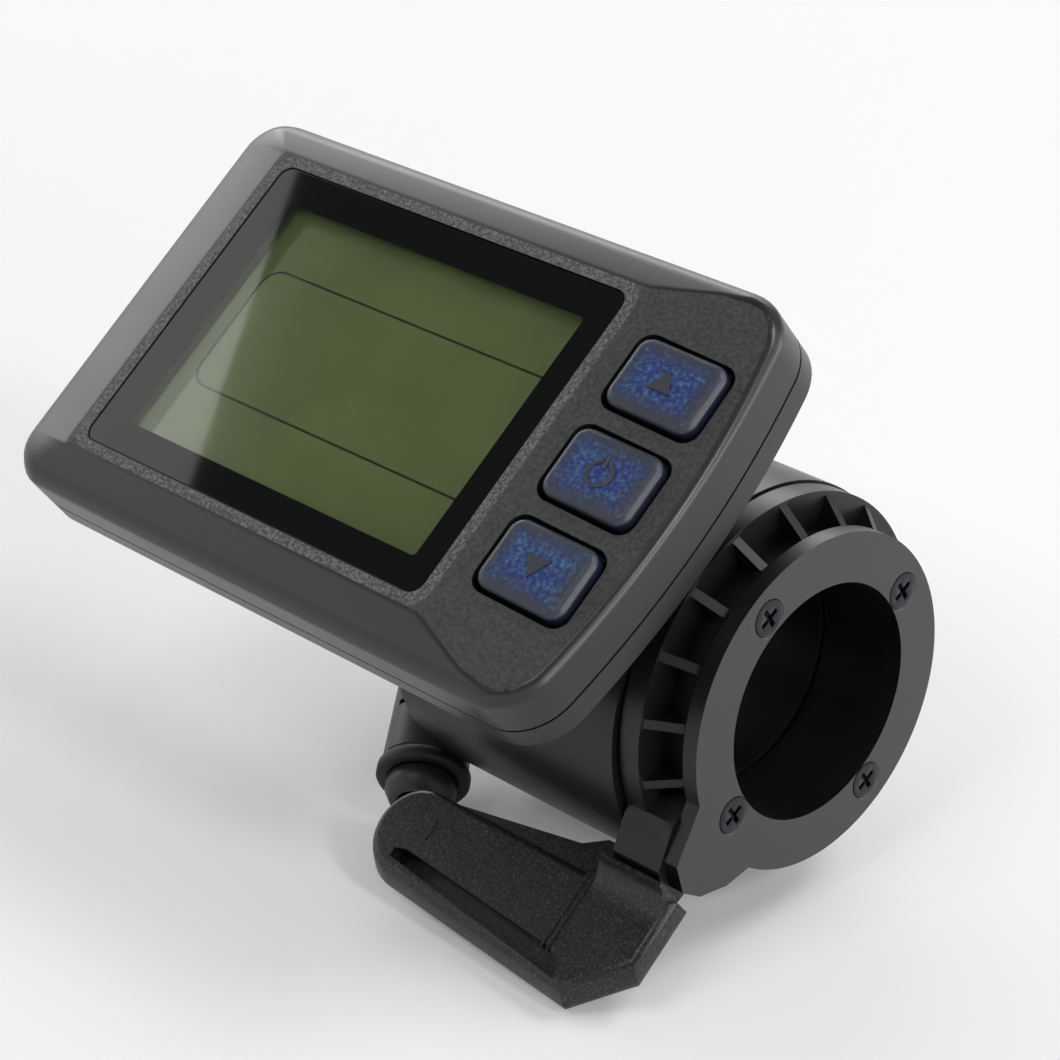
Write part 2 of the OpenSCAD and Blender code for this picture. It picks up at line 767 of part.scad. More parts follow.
module paddle() {
    root = around(paddle_root_r, paddle_root_dir);
    translate([paddle_x1, root[0], root[1]]) rotate([180 + paddle_slope, 0, 0]) {
        difference() {
            union() {
                linear_extrude(paddle_t) paddle_plan(0);
                translate([0, 0, paddle_t / 2]) linear_extrude(paddle_t / 2) paddle_plan(paddle_flare);
                paddle_web();
            }
            groove_v = paddle_depth - 2 * paddle_groove_inset;
            translate([0, 0, -cut]) linear_extrude(paddle_groove_depth + cut)
                polygon([[-paddle_groove_x, paddle_depth - paddle_groove_inset],
                    [-paddle_groove_x, paddle_depth - paddle_groove_inset - paddle_groove_w],
                    [-paddle_groove_x - paddle_groove_len, groove_v],
                    [-paddle_groove_x - paddle_groove_len, groove_v + paddle_ridge_w]]);
            translate([0, 0, -cut]) linear_extrude(paddle_panel_depth + cut)
                polygon([[-paddle_panel_x, paddle_panel_v],
                    [-paddle_panel_x, paddle_panel_v + paddle_panel_w1],
                    [-paddle_panel_x - paddle_panel_len, paddle_panel_v + paddle_panel_w0],
                    [-paddle_panel_x - paddle_panel_len, paddle_panel_v]]);
        }
        translate([-paddle_bar_x, paddle_back_step, -paddle_bar_h])
            cube([paddle_bar_w, paddle_depth - 2 * paddle_back_step, paddle_bar_h + paddle_t / 2]);
    }
}

module lever_arm() {
    r = paddle_root_r;
    dir = paddle_root_dir;
    along(lever_flange_x0, plate_x) polygon([
        around(arm_root_r, dir - arm_foot_angle), around(r - arm_shoulder_step, dir - arm_shoulder_angle),
        around(r - arm_crest_step, dir - arm_crest_angle), paddle_point(arm_sink, arm_sink),
        paddle_point(paddle_back_step, paddle_t - arm_sink),
        around(r - tab_low_step, dir + tab_low_angle), around(r - tab_foot_step, dir + tab_foot_angle),
        around(arm_root_r, dir + arm_foot_angle)]);
}

module throttle_lever() {
    color("#2a2b2c") difference() {
        union() {
            difference() {
                union() {
                    rotate([0, 90, 0]) rotate_extrude() polygon([
                        [lever_bore_r, hub_shoulder_x], [lever_bore_r, plate_x], [drum_r1, plate_x],
                        [drum_r0, lever_flange_x1], [lever_flange_r, lever_flange_x1],
                        [lever_flange_r, lever_flange_x0], [skirt_r, lever_flange_x0],
                        [skirt_r, snap_ring_x1 + seat_fit],
                        [skirt_r - snap_ring_depth, snap_ring_x1 + seat_fit],
                        [skirt_r - snap_ring_depth, snap_ring_x0 - seat_fit],
                        [skirt_r, snap_ring_x0 - seat_fit],
                        [skirt_r, skirt_x0], [hub_seat_r, skirt_x0], [hub_seat_r, hub_shoulder_x]]);
                    ring_of(rib_count, rib_first_dir) gusset_rib();
                    lever_arm();
                }
                rod(lever_bore_r, hub_shoulder_x - cut, ring_x + cut);
            }
            paddle();
            arc_block(skirt_r - skirt_wall / 4, stop_lug_r, web_x1 + face_gap, lever_flange_x0 + cut,
                stop_dir, stop_lug_angle);
        }
        ring_of(plate_screw_count, plate_screw_dir) translate([ring_x, plate_screw_r, 0]) rotate([0, 90, 0])
            translate([0, 0, -plate_t - plate_screw_grip])
                cylinder(d = plate_screw_d + 2 * seat_fit, h = plate_t + plate_screw_grip + cut, $fn = 32);
    }
}

module end_plate() {
    r = paddle_root_r;
    dir = paddle_root_dir;
    color("#505152") difference() {
        union() {
            rod(plate_r, plate_x, ring_x);
            along(plate_x, ring_x) polygon([
                around(lever_bore_r + face_gap, dir - arm_foot_angle),
                around(plate_r, dir - arm_foot_angle),
                around(r - tab_top_step, dir - tab_top_angle),
                around(r - tab_edge_step, dir + tab_edge_angle),
                around(r - tab_low_step, dir + tab_low_angle),
                around(r - tab_foot_step, dir + tab_foot_angle),
                around(plate_r, dir + tab_end_angle),
                around(lever_bore_r + face_gap, dir + tab_end_angle)]);
        }
        rod(lever_bore_r, plate_x - cut, ring_x + cut);
        ring_of(plate_screw_count, plate_screw_dir) translate([ring_x, plate_screw_r, 0]) rotate([0, 90, 0])
            sunk_hole(plate_screw_d + part_fit, plate_screw_head_d + part_fit, plate_screw_head_h, plate_t);
    }
}

module plate_screws() {
    color("#2c2d2f") ring_of(plate_screw_count, plate_screw_dir) translate([ring_x, plate_screw_r, 0])
        rotate([0, 90, 0]) sunk_screw(plate_screw_d, plate_screw_head_d, plate_screw_head_h,
            plate_t - plate_screw_head_h + plate_screw_grip);
}

module lever_bush() {
    color("#d8d4c6") pipe(bush_r0, bush_r1, skirt_x0, hub_shoulder_x - face_gap);
}

module retaining_ring() {
    color("#8d9094") difference() {
        pipe(skirt_r - snap_ring_depth + seat_fit, snap_ring_r1, snap_ring_x0, snap_ring_x1);
        translate([snap_ring_x0 - cut, -snap_ring_opening / 2, -housing_r])
            cube([snap_ring_t + 2 * cut, snap_ring_opening, housing_r]);
    }
}

module rotor_magnet() {
    color("#6f7073") arc_block(magnet_r0, magnet_r1, magnet_x0, magnet_x0 + magnet_len,
        90 + display_tilt - lever_travel / 2, magnet_angle);
}

// Middle line of the return spring: a straight leg off the clamp's flange, then its turns
function spring_point(i) = let (a = 360 * i / spring_steps) [
    flange_face_x + spring_leg + spring_pitch * i / spring_steps, spring_r * cos(a), spring_r * sin(a)];
spring_last = spring_turns * spring_steps;
spring_path = concat([[flange_face_x, spring_r, 0]], [for (i = [0 : spring_last]) spring_point(i)],
    [spring_point(spring_last) + [spring_leg, 0, 0]]);
function unit(v) = v / norm(v);
function spring_tangent(i) = unit(i == 0 || i == len(spring_path) - 1 ? [1, 0, 0]
    : unit(spring_path[i + 1] - spring_path[i]) + unit(spring_path[i] - spring_path[i - 1]));
function spring_ring(i) =
    let (t = spring_tangent(i), p = spring_path[i], u = unit([0, p[1], p[2]]), v = cross(t, u))
    [for (k = [0 : spring_sides - 1]) let (a = 360 * k / spring_sides)
        p + spring_wire_d / 2 * (cos(a) * u + sin(a) * v)];
spring_points = [for (i = [0 : len(spring_path) - 1]) each spring_ring(i)];
spring_rings = len(spring_path);
spring_faces = concat([[for (k = [0 : spring_sides - 1]) k]],
    [for (i = [0 : spring_rings - 2], k = [0 : spring_sides - 1], half = [0, 1]) let (
        a = i * spring_sides + k, b = i * spring_sides + (k + 1) % spring_sides,
        c = a + spring_sides, d = b + spring_sides) half == 0 ? [a, c, b] : [b, c, d]],
    [[for (k = [spring_sides - 1 : -1 : 0]) (spring_rings - 1) * spring_sides + k]]);
spring_gap = min([for (i = [0 : spring_rings - 1], j = [0 : spring_rings - 1])
    if (j - i >= spring_steps / 2) norm(spring_path[i] - spring_path[j])]) - spring_wire_d;
echo(spring_gap_mm = spring_gap);

module return_spring() {
    color("#a9adb2") polyhedron(points = spring_points, faces = spring_faces);
}

module hall_board() {
    color("#1d5a34") in_display() plate_at(hall_x, 0, hall_board_len, hall_board_w,
        hall_board_z0, hall_board_z0 + hall_board_t);
}

module hall_sensor() {
    color("#1b1c1d") in_display() plate_at(hall_x, 0, sensor_len, sensor_w, sensor_z0, sensor_z0 + sensor_t);
}

module sensor_leads() {
    color("#b03a2e") in_display() for (i = [-1 : 1])
        peg_at([hall_x, i * lead_gap], lead_d / 2, hall_board_z0 + hall_board_t, board_z0);
}

module saddle_seal() {
    color("#151617") in_display() difference() {
        translate([saddle_x0, -saddle_w / 2, saddle_z1]) cube([saddle_len, saddle_w, saddle_seal_t]);
        plate_at(hall_x, 0, lead_slot_len, lead_slot_w, saddle_z1 - cut, under_height + cut);
        for (place = saddle_screw_places)
            peg_at(place, saddle_screw_d / 2 + part_fit, saddle_z1 - cut, under_height + cut);
    }
}

module saddle_screws() {
    color("#85888c") in_display() for (place = saddle_screw_places)
        pan_screw(place, saddle_screw_d, saddle_screw_head_d, saddle_screw_head_h, saddle_screw_len, floor_z);
}

module rear_shell() {
    color("#2b2c2d") in_display() difference() {
        union() {
            difference() {
                case_prism(0, under_height, parting_z);
                case_prism(case_wall, floor_z, parting_z + cut);
            }
            for (place = case_screw_places) peg_at(place, case_boss_d / 2, floor_z - cut, parting_z);
            for (place = board_screw_places) peg_at(place, board_post_d / 2, floor_z - cut, board_z0);
        }
        difference() {
            case_prism(seal_inset - part_fit / 2, parting_z - seal_h, parting_z + cut);
            case_prism(seal_inset + seal_w + part_fit / 2, parting_z - seal_h - cut, parting_z + 2 * cut);
        }
        for (place = case_screw_places) {
            peg_at(place, case_screw_d / 2 + part_fit, under_height - cut, parting_z + cut);
            peg_at(place, case_screw_head_d / 2 + part_fit, under_height - cut,
                under_height + case_screw_head_h);
        }
        for (place = board_screw_places) peg_at(place, board_screw_d / 2 + seat_fit, floor_z, board_z0 + cut);
        for (place = saddle_screw_places)
            peg_at(place, saddle_screw_d / 2 + part_fit, under_height - cut, floor_z + cut);
        plate_at(hall_x, 0, lead_slot_len, lead_slot_w, under_height - cut, floor_z + cut);
    }
}

module case_screws() {
    color("#1f2021") in_display() for (place = case_screw_places) difference() {
        union() {
            peg_at(place, case_screw_head_d / 2, under_height, under_height + case_screw_head_h - seat_fit);
            peg_at(place, case_screw_d / 2, under_height, under_height + case_screw_len);
        }
        translate([place[0], place[1], under_height]) mirror([0, 0, 1]) cross_recess(case_screw_head_d);
    }
}

module case_seal() {
    color("#111213") in_display() difference() {
        case_prism(seal_inset, parting_z - seal_h, parting_z);
        case_prism(seal_inset + seal_w, parting_z - seal_h - cut, parting_z + cut);
    }
}

module front_shell() {
    color("#3c3d3e") in_display() difference() {
        union() {
            difference() {
                face_form(0, 0);
                face_form(case_wall, case_skin);
                difference() {
                    case_prism(-cut, parting_z - cut, parting_z + seam_w);
                    case_prism(seam_w, parting_z - 2 * cut, parting_z + seam_w + cut);
                }
            }
            intersection() {
                face_form(case_wall / 2, case_skin / 2);
                union() {
                    slab_at(lens_x, lens_y, lens_len + 2 * land_w, lens_h + 2 * land_w,
                        lens_corner_r + land_w, ledge_z0, face_height);
                    for (place = case_screw_places) peg_at(place, case_boss_d / 2, parting_z, face_height);
                }
            }
        }
        slab_at(lens_x, lens_y, lens_len + 2 * part_fit, lens_h + 2 * part_fit, lens_corner_r + part_fit,
            lens_z0, face_height + cut);
        slab_at(lens_x, lens_y, lens_len - 2 * ledge_w, lens_h - 2 * ledge_w, lens_corner_r / 2,
            ledge_z0 - cut, face_height);
        for (i = [-1 : 1]) translate([0, 0, parting_z])
            linear_extrude(face_height - parting_z + cut) button_outline(i, 0);
        for (place = case_screw_places)
            peg_at(place, case_screw_d / 2 + seat_fit, parting_z - cut,
                under_height + case_screw_len + part_fit);
    }
}

module window_lens() {
    color("#23262488") in_display()
        slab_at(lens_x, lens_y, lens_len, lens_h, lens_corner_r, lens_z0, lens_z0 + lens_t);
}

module lcd_panel() {
    color("#56603b") in_display() plate_at(lens_x, lens_y, panel_len, panel_h, lcd_z0, lcd_z1);
}

module light_guide() {
    color("#e8eadf") in_display() plate_at(lens_x, lens_y + guide_side_gap / 2,
        panel_len, panel_h - guide_side_gap, guide_z0, guide_z1);
}

module lcd_frame() {
    outer_len = panel_len + 2 * frame_play + 2 * frame_wall;
    outer_h = panel_h + 2 * frame_play + 2 * frame_wall;
    color("#17181a") in_display() {
        difference() {
            plate_at(lens_x, lens_y, outer_len, outer_h, guide_z0 - lip_t, frame_top_z);
            plate_at(lens_x, lens_y, panel_len + 2 * frame_play, panel_h + 2 * frame_play,
                guide_z0, frame_top_z + cut);
            plate_at(lens_x, lens_y, panel_len - 2 * guide_lip, panel_h - 2 * lip_end_w,
                guide_z0 - lip_t - cut, guide_z0 + cut);
        }
        for (sx = [-1, 1], sy = [-1, 1]) peg_at([lens_x + sx * (outer_len - frame_leg_d) / 2,
            lens_y + sy * (board_y1 - board_y0 - 2 * frame_leg_d) / 2], frame_leg_d / 2, board_z1, guide_z0);
    }
}

module contact_strip() {
    color("#6d6f73") in_display()
        plate_at(lens_x, lens_y - panel_h / 2 + strip_inset, strip_len, strip_w, board_z1, lcd_z0);
}

module main_board() {
    color("#1d5a34") in_display() difference() {
        translate([board_x0, board_y0, board_z0]) cube([board_x1 - board_x0, board_y1 - board_y0, board_t]);
        for (place = board_screw_places)
            peg_at(place, board_screw_d / 2 + part_fit, board_z0 - cut, board_z1 + cut);
    }
}

module board_screws() {
    color("#9a9da1") in_display() for (place = board_screw_places)
        pan_screw(place, board_screw_d, board_screw_head_d, board_screw_head_h,
            board_t + board_gap - part_fit, board_z1);
}

module controller_chip() {
    color("#151617") in_display()
        plate_at(lens_x + chip_x, lens_y, chip_w, chip_w, board_z1, board_z1 + chip_t);
}

module tact_switches() {
    color("#c9cbcd") in_display() for (i = [-1 : 1]) {
        plate_at(button_x, button_y + i * button_pitch, switch_w, switch_w, board_z1, board_z1 + switch_t);
        peg_at([button_x, button_y + i * button_pitch], plunger_r, board_z1, plunger_z1);
    }
}

module key_membrane() {
    mid_x = (membrane_x0 + membrane_x1) / 2;
    mid_y = (membrane_y0 + membrane_y1) / 2;
    color("#46484b") in_display() {
        slab_at(mid_x, mid_y, membrane_x1 - membrane_x0, membrane_y1 - membrane_y0, button_corner_r,
            membrane_z0, membrane_z1);
        for (x = [membrane_x0 + membrane_foot_d, board_x1 - membrane_foot_d],
            y = [membrane_y0 + membrane_foot_d, membrane_y1 - membrane_foot_d])
            peg_at([x, y], membrane_foot_d / 2, board_z1, membrane_z0 + membrane_t / 2);
    }
}

module button(index) {
    color("#26324f") in_display() difference() {
        union() {
            translate([0, 0, button_z0]) linear_extrude(face_height + button_rise - button_z0)
                button_outline(index, face_gap);
            plate_at(button_x, button_y + index * button_pitch, button_len - 2 * button_corner_r,
                button_h + 2 * button_flange_w, button_z0, button_flange_z1);
        }
        above_slope(land_x1, 0, face_height + button_rise, 0, panel_slope);
    }
}

module button_up() { button(1); }

module button_power() { button(0); }

module button_down() { button(-1); }

clamp_body();
clamp_screw();
throttle_housing();
housing_screws();
cable_gland();
gland_ring();
throttle_lever();
end_plate();
plate_screws();
lever_bush();
retaining_ring();
rotor_magnet();
return_spring();
hall_board();
hall_sensor();
sensor_leads();
saddle_seal();
saddle_screws();
rear_shell();
case_screws();
case_seal();
front_shell();
window_lens();
lcd_panel();
light_guide();
lcd_frame();
contact_strip();
main_board();
board_screws();
controller_chip();
tact_switches();
key_membrane();
button_up();
button_power();
button_down();
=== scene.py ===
"""Handlebar display head with a thumb throttle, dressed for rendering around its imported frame."""

import json
from math import atan, atan2, cos, pi, radians, sin, sqrt, tan

import bmesh
import bpy
from mathutils import Euler, Matrix, Vector

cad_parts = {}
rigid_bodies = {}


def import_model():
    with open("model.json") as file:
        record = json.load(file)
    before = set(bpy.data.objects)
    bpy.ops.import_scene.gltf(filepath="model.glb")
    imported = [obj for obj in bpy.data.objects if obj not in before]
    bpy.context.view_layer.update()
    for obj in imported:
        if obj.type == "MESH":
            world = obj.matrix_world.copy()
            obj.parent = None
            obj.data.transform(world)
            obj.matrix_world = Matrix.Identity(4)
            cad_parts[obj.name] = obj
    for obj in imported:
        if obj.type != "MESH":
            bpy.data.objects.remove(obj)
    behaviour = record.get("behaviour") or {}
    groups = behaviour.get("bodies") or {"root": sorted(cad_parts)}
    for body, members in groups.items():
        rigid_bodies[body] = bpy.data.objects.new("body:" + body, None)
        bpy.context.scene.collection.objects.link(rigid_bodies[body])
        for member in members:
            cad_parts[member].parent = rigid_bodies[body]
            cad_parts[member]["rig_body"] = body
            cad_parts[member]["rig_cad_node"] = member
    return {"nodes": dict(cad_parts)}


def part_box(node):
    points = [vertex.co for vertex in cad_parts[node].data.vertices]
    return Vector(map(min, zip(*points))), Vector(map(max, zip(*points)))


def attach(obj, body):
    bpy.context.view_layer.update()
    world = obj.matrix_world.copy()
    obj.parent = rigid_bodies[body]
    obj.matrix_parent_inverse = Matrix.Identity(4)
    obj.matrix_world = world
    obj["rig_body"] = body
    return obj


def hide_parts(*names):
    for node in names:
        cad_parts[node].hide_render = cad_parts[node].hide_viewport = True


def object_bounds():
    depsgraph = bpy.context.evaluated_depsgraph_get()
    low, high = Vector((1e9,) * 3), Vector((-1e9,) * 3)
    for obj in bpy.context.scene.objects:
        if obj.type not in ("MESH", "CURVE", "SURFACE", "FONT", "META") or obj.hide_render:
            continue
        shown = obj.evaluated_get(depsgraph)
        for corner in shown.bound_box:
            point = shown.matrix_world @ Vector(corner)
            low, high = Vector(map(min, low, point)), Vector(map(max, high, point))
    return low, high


bl_info = {
    "name": "E-bike display",
    "version": (1, 0, 0),
    "blender": (4, 5, 0),
    "location": "View3D > Sidebar > E-bike display",
    "description": "Dresses a handlebar display head and its thumb throttle with rounded pieces and finishes",
    "category": "Object",
}

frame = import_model()
CAD_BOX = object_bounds()
NODES = frame["nodes"]
MM = 0.001
NEAR = 0.02 * MM

# The display head leans towards the rider by this angle, about the handlebar's axis
DISPLAY_TILT = radians(34)

# The photograph's camera, in millimetres and degrees, for a square picture
CAMERA_PLACE = (193.79, -193.59, 161.59)
CAMERA_TURN = (61.016, 2.822, 45.496)
CAMERA_LENS = 113.9
CAMERA_SENSOR = 36


def linear(colour):
    """An sRGB hex colour as the linear values that Blender's sockets take."""
    parts = [int(colour[i : i + 2], 16) / 255 for i in (1, 3, 5)]
    return tuple(p / 12.92 if p <= 0.04045 else ((p + 0.055) / 1.055) ** 2.4 for p in parts) + (1.0,)


def head_box(node):
    """Lowest and highest corners of a node in the display head's own frame, in millimetres."""
    turn = Matrix.Rotation(-DISPLAY_TILT, 3, "X") * (1 / MM)
    points = [turn @ vertex.co for vertex in NODES[node].data.vertices]
    return tuple(Vector([pick(p[i] for p in points) for i in range(3)]) for pick in (min, max))


# Sizes of the display head in its own frame, in millimetres, read from the frame
HEAD_LOW, HEAD_HIGH = head_box("front_shell")
LENS_LOW, LENS_HIGH = head_box("window_lens")
LENS_MID = (LENS_LOW + LENS_HIGH) / 2
HEAD_MID_Y = (HEAD_LOW.y + HEAD_HIGH.y) / 2
LAND_W = 1.3
LAND_CORNER_R = 2.4
LAND_LOW = LENS_LOW - Vector((LAND_W, LAND_W, 0))
LAND_HIGH = LENS_HIGH + Vector((LAND_W, LAND_W, 0))

# The print lies behind the glass, so its border on the front face is drawn where refraction shows it
PRINT_W = 3.45
PRINT_SHIFT = (0.55, -0.22, 0)
PRINT_CORNER_R = 0.5
BACK_PRINT_W = PRINT_W - 0.8

# The lens lies in a pocket with this play round and under it, on a ledge of this width and thickness
LENS_PLAY = Vector((0.06, 0.06))
LENS_DROP = 0.05
LEDGE_W = Vector((1.4, 1.4))
LEDGE_T = 0.8
PANEL_DROP = 2.1
PANEL_FALL = PANEL_DROP / (HEAD_HIGH.x - LAND_HIGH.x)
PANEL_SLOPE = atan(PANEL_FALL)
LEFT_CORNER_R = 4.5
RIGHT_CORNER_R = 6
END_BOW_R = 98
SEAM = 0.25
WALL = 1.8
SKIN = 1.1
WALL_TOP_Z = HEAD_HIGH.z - 2.7

# How high the tools reach that cut the openings, clear above the head
TOOL_TOP_Z = 32

# The rim's rounding, from the wall's top inwards: how far in, and how far up
RIM_STEPS = ((0.7, 1.13), (0.97, 0.57))

BUTTON_GAP = 0.3
BUTTON_FLANGE = 0.5
BUTTON_CORNER_R = 1.5
BUTTON_DROP = 0.35
BUTTON_TIP = 0.65

# The paddle's own frame: x along the handlebar from the end plate's face, y to its front edge, z down
RING_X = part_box("end_plate")[1].x / MM
ARM_X = 15.4
PADDLE_TURN = radians(180 + 35)
PADDLE_ROOT_R = 22.6
PADDLE_ROOT_DIR = radians(31)
PADDLE_LEN = 34.1
PADDLE_DEPTH = 11.8
PADDLE_END_R = 4.3
PADDLE_BACK = 1.4
PADDLE_T = 2.9
PADDLE_FILLET = (3.2, 2.4)

# The end plate's bore and screws, and its tab as radii and degrees from the paddle's root
PLATE_BORE_R = 11.45
PLATE_SCREWS_R = 13.3
PLATE_SCREWS_TURN = 29
PLATE_TAB_R = (20.8, 21.6, 20.7, 18.6)
PLATE_TAB_TURN = (-7.7, 0.6, 7.3, 15.3)

# The end of the clamp's tongue, which doesn't show outside the gland
TONGUE_END = ((-26, -30, -30), (-21.2, 0, 10))

# The gland's middle and its turn, and the side of it that shows, in degrees about its axis
GLAND_PLACE = (-15.56, -14.8, -17.3)
GLAND_TURN = (0, radians(90 + 21.7), -radians(53.7))
GLAND_FRONT = 167


def shade(colour, share):
    """A linear colour made darker or lighter by a share."""
    return tuple(min(c * share, 1) for c in colour[:3]) + (1.0,)


def colour_prop(name, description, colour):
    return bpy.props.FloatVectorProperty(
        name=name, description=description, subtype="COLOR", size=4, min=0, max=1, default=linear(colour)
    )


def length_prop(name, description, millimetres):
    return bpy.props.FloatProperty(
        name=name, description=description, unit="LENGTH", min=0, precision=5, default=millimetres * MM
    )


class DisplaySizes(bpy.types.PropertyGroup):
    """Sizes of the roundings and reliefs that the moulds leave."""

    crease: length_prop("Crease rounding", "Rounding where the rim meets the level land and the panel", 0.38)
    wall_top: length_prop("Wall rounding", "Rounding where the case's wall meets the rim", 0.28)
    edge: length_prop("Opening rounding", "Rounding of the window's and the buttons' openings", 0.12)
    case_edge: length_prop("Case rounding", "Rounding of the rear shell's edges", 0.5)
    hub_edge: length_prop("Hub rounding", "Rounding of the hub's ribs and flanges", 0.2)
    plate_edge: length_prop("End plate rounding", "Rounding of the end plate's edges", 0.45)
    paddle_edge: length_prop("Paddle rounding", "Rounding of the paddle's upper edge", 0.7)
    button_edge: length_prop("Button rounding", "Rounding of a button's upper edge", 0.85)
    button_play: length_prop("Button play", "How much a button is drawn in from its solid, all round", 0.12)


class DisplayColours(bpy.types.PropertyGroup):
    """Colours of the finishes."""

    case: colour_prop("Case", "Satin plastic of the rim and the walls", "#1d1d1e")
    # The land's light flecks, drawn from this colour, are painted sparkle
    land: colour_prop("Land", "Sparkling grain round the window", "#47484a")
    panel: colour_prop("Panel", "Fine grain of the button panel", "#323633")
    housing: colour_prop("Housing", "Nylon of the clamp and the throttle's housing", "#0d0d0e")
    lever: colour_prop("Lever", "Nylon of the hub and the paddle", "#0f1011")
    plate: colour_prop("End plate", "Satin plastic of the end plate", "#262627")
    button: colour_prop("Button", "Silicone of a button's rim", "#32353d")
    # The symbols' sides take this colour too, as painted shade
    button_side: colour_prop("Button side", "Silicone of a button's sides", "#181a29")
    button_middle: colour_prop("Button print", "Rubbed blue print on a button's top", "#1d2c6a")
    button_fleck: colour_prop("Button flecks", "Lighter flecks in a button's print", "#4a7391")
    crystal: colour_prop("Liquid crystal", "Unlit liquid crystal behind the lens", "#8b9b60")
    print_black: colour_prop("Lens print", "Black print behind the lens's border", "#08090a")


def add_node(tree, kind, inputs=None, settings=None):
    """Adds a shader node. An input takes a value, a socket, or a node for its first output."""
    node = tree.nodes.new("ShaderNode" + kind)
    for key, value in (settings or {}).items():
        setattr(node, key, value)
    for key, value in (inputs or {}).items():
        if isinstance(value, bpy.types.Node):
            value = value.outputs[0]
        if isinstance(value, bpy.types.NodeSocket):
            tree.links.new(value, node.inputs[key])
        else:
            node.inputs[key].default_value = value
    return node


def worked_out(tree, value, *steps, kind="Math"):
    """Passes a value through steps of maths, each an operation and its other values."""
    for operation, *others in steps:
        value = add_node(tree, kind, {0: value, **dict(enumerate(others, 1))}, {"operation": operation})
    return value


def start_material(name):
    """A node material and its empty tree."""
    material = bpy.data.materials.new(name)
    material.use_nodes = True
    material.node_tree.nodes.clear()
    return material, material.node_tree


def noise(tree, size_mm, detail=2.0):
    """Noise on the object's own coordinates, with lumps of a size in millimetres."""
    place = add_node(tree, "TexCoord").outputs["Object"]
    sizes = {"Scale": 1 / (size_mm * MM), "Detail": detail, "Roughness": 0.6}
    return add_node(tree, "TexNoise", {"Vector": place, **sizes})


def two_colours(tree, share, low, high, start=0.35, end=0.65):
    """A colour that goes from one to the other as the share goes from start to end."""
    ramp = add_node(tree, "ValToRGB", {"Fac": share})
    for element, place, colour in zip(ramp.color_ramp.elements, (start, end), (low, high)):
        element.position = place
        element.color = colour
    return ramp


def head_place(tree):
    """The object's own coordinates, leaned back into the display head's own frame."""
    place = add_node(tree, "TexCoord").outputs["Object"]
    leaned = {"Vector": place, "Angle": -DISPLAY_TILT}
    return add_node(tree, "VectorRotate", leaned, {"rotation_type": "X_AXIS"})


def rounded_box_distance(tree, middle, half, radius):
    """Distance in metres outside a round-cornered rectangle in the display head's own frame."""
    straight = half - Vector((radius, radius, 0))
    steps = (
        ("SUBTRACT", (middle.x * MM, middle.y * MM, 0)),
        ("ABSOLUTE",),
        ("SUBTRACT", (straight.x * MM, straight.y * MM, 0)),
        ("MAXIMUM", (0, 0, 0)),
        ("MULTIPLY", (1, 1, 0)),
        ("LENGTH",),
    )
    outside = worked_out(tree, head_place(tree), *steps, kind="VectorMath")
    return worked_out(tree, outside.outputs["Value"], ("SUBTRACT", radius * MM))


def finish_moulded(tree, colour, grain, depth_mm, patch_mm, roughness, specular, **extra):
    """Ends a moulded surface's tree: relief from its grain, and patches of sheen between two roughnesses."""
    low, high = roughness
    sheen = add_node(tree, "MapRange", {"Value": noise(tree, patch_mm), "To Min": low, "To Max": high})
    relief = add_node(tree, "Bump", {"Height": grain, "Strength": 0.6, "Distance": depth_mm * MM})
    finish = {"Base Color": colour, "Roughness": sheen, "Normal": relief, "Specular IOR Level": specular}
    shader = add_node(tree, "BsdfPrincipled", {**finish, **extra})
    add_node(tree, "OutputMaterial", {"Surface": shader})


# Real mould grain and drawing streaks measure some hundredths of a millimetre. That is too fine to show, so
# they are drawn as coarse as they need to be: 0.2 to 0.6 mm
def moulded(name, colour, grain_mm, depth_mm, roughness, spread=0.06, mottle=0.12, specular=0.5, **extra):
    """A moulded surface: grain in its colour and relief, and broad patches in its sheen."""
    if name in bpy.data.materials:
        return bpy.data.materials[name]
    material, tree = start_material(name)
    grain = noise(tree, grain_mm, 3.0)
    mottled = two_colours(tree, grain, shade(colour, 1 - mottle), shade(colour, 1 + mottle))
    span = (roughness - spread, roughness + spread)
    finish_moulded(tree, mottled, grain, depth_mm, 9, span, specular, **extra)
    return material


def satin_abs(colours):
    """Injection-moulded ABS off a fine satin tool: an even, soft sheen that shows the rim's roundings."""
    return moulded("injection_moulded_satin_abs", colours.case, 0.25, 0.006, 0.33, 0.04, 0.06)


def plain_nylon(colours):
    """Nylon off a smooth tool: the hub's and housing's soft sheen, with flow marks in it."""
    return moulded("moulded_smooth_nylon", colours.housing, 0.35, 0.01, 0.34, 0.07, 0.08, 0.36)


def grained_abs(colours):
    """ABS off a spark-eroded tool: coarse grain round the window, whose light flecks in the colour are
    painted sparkle, and finer grain on the panel.
    """
    material, tree = start_material("spark_eroded_abs")
    outside = rounded_box_distance(tree, LENS_MID, (LAND_HIGH - LAND_LOW) / 2, LAND_CORNER_R)
    seam = {"From Min": -0.1 * MM, "From Max": 0.1 * MM}
    on_panel = add_node(tree, "MapRange", {"Value": outside, **seam})
    coarse, fine = noise(tree, 0.3, 5.0), noise(tree, 0.4, 5.0)
    # Painted sparkle: the land's grain runs from under half to over twice its colour, and the light flecks
    # stand for the glints of the grain
    land = two_colours(tree, coarse, shade(colours.land, 0.45), shade(colours.land, 2.3), 0.42, 0.64)
    panel = two_colours(tree, fine, shade(colours.panel, 0.6), shade(colours.panel, 1.5), 0.38, 0.66)
    colour = add_node(tree, "Mix", {0: on_panel, 6: land, 7: panel}, {"data_type": "RGBA"})
    grain = add_node(tree, "Mix", {0: on_panel, 2: coarse, 3: fine})
    finish_moulded(tree, colour.outputs[2], grain, 0.09, 7, (0.5, 0.62), 0.45)
    return material


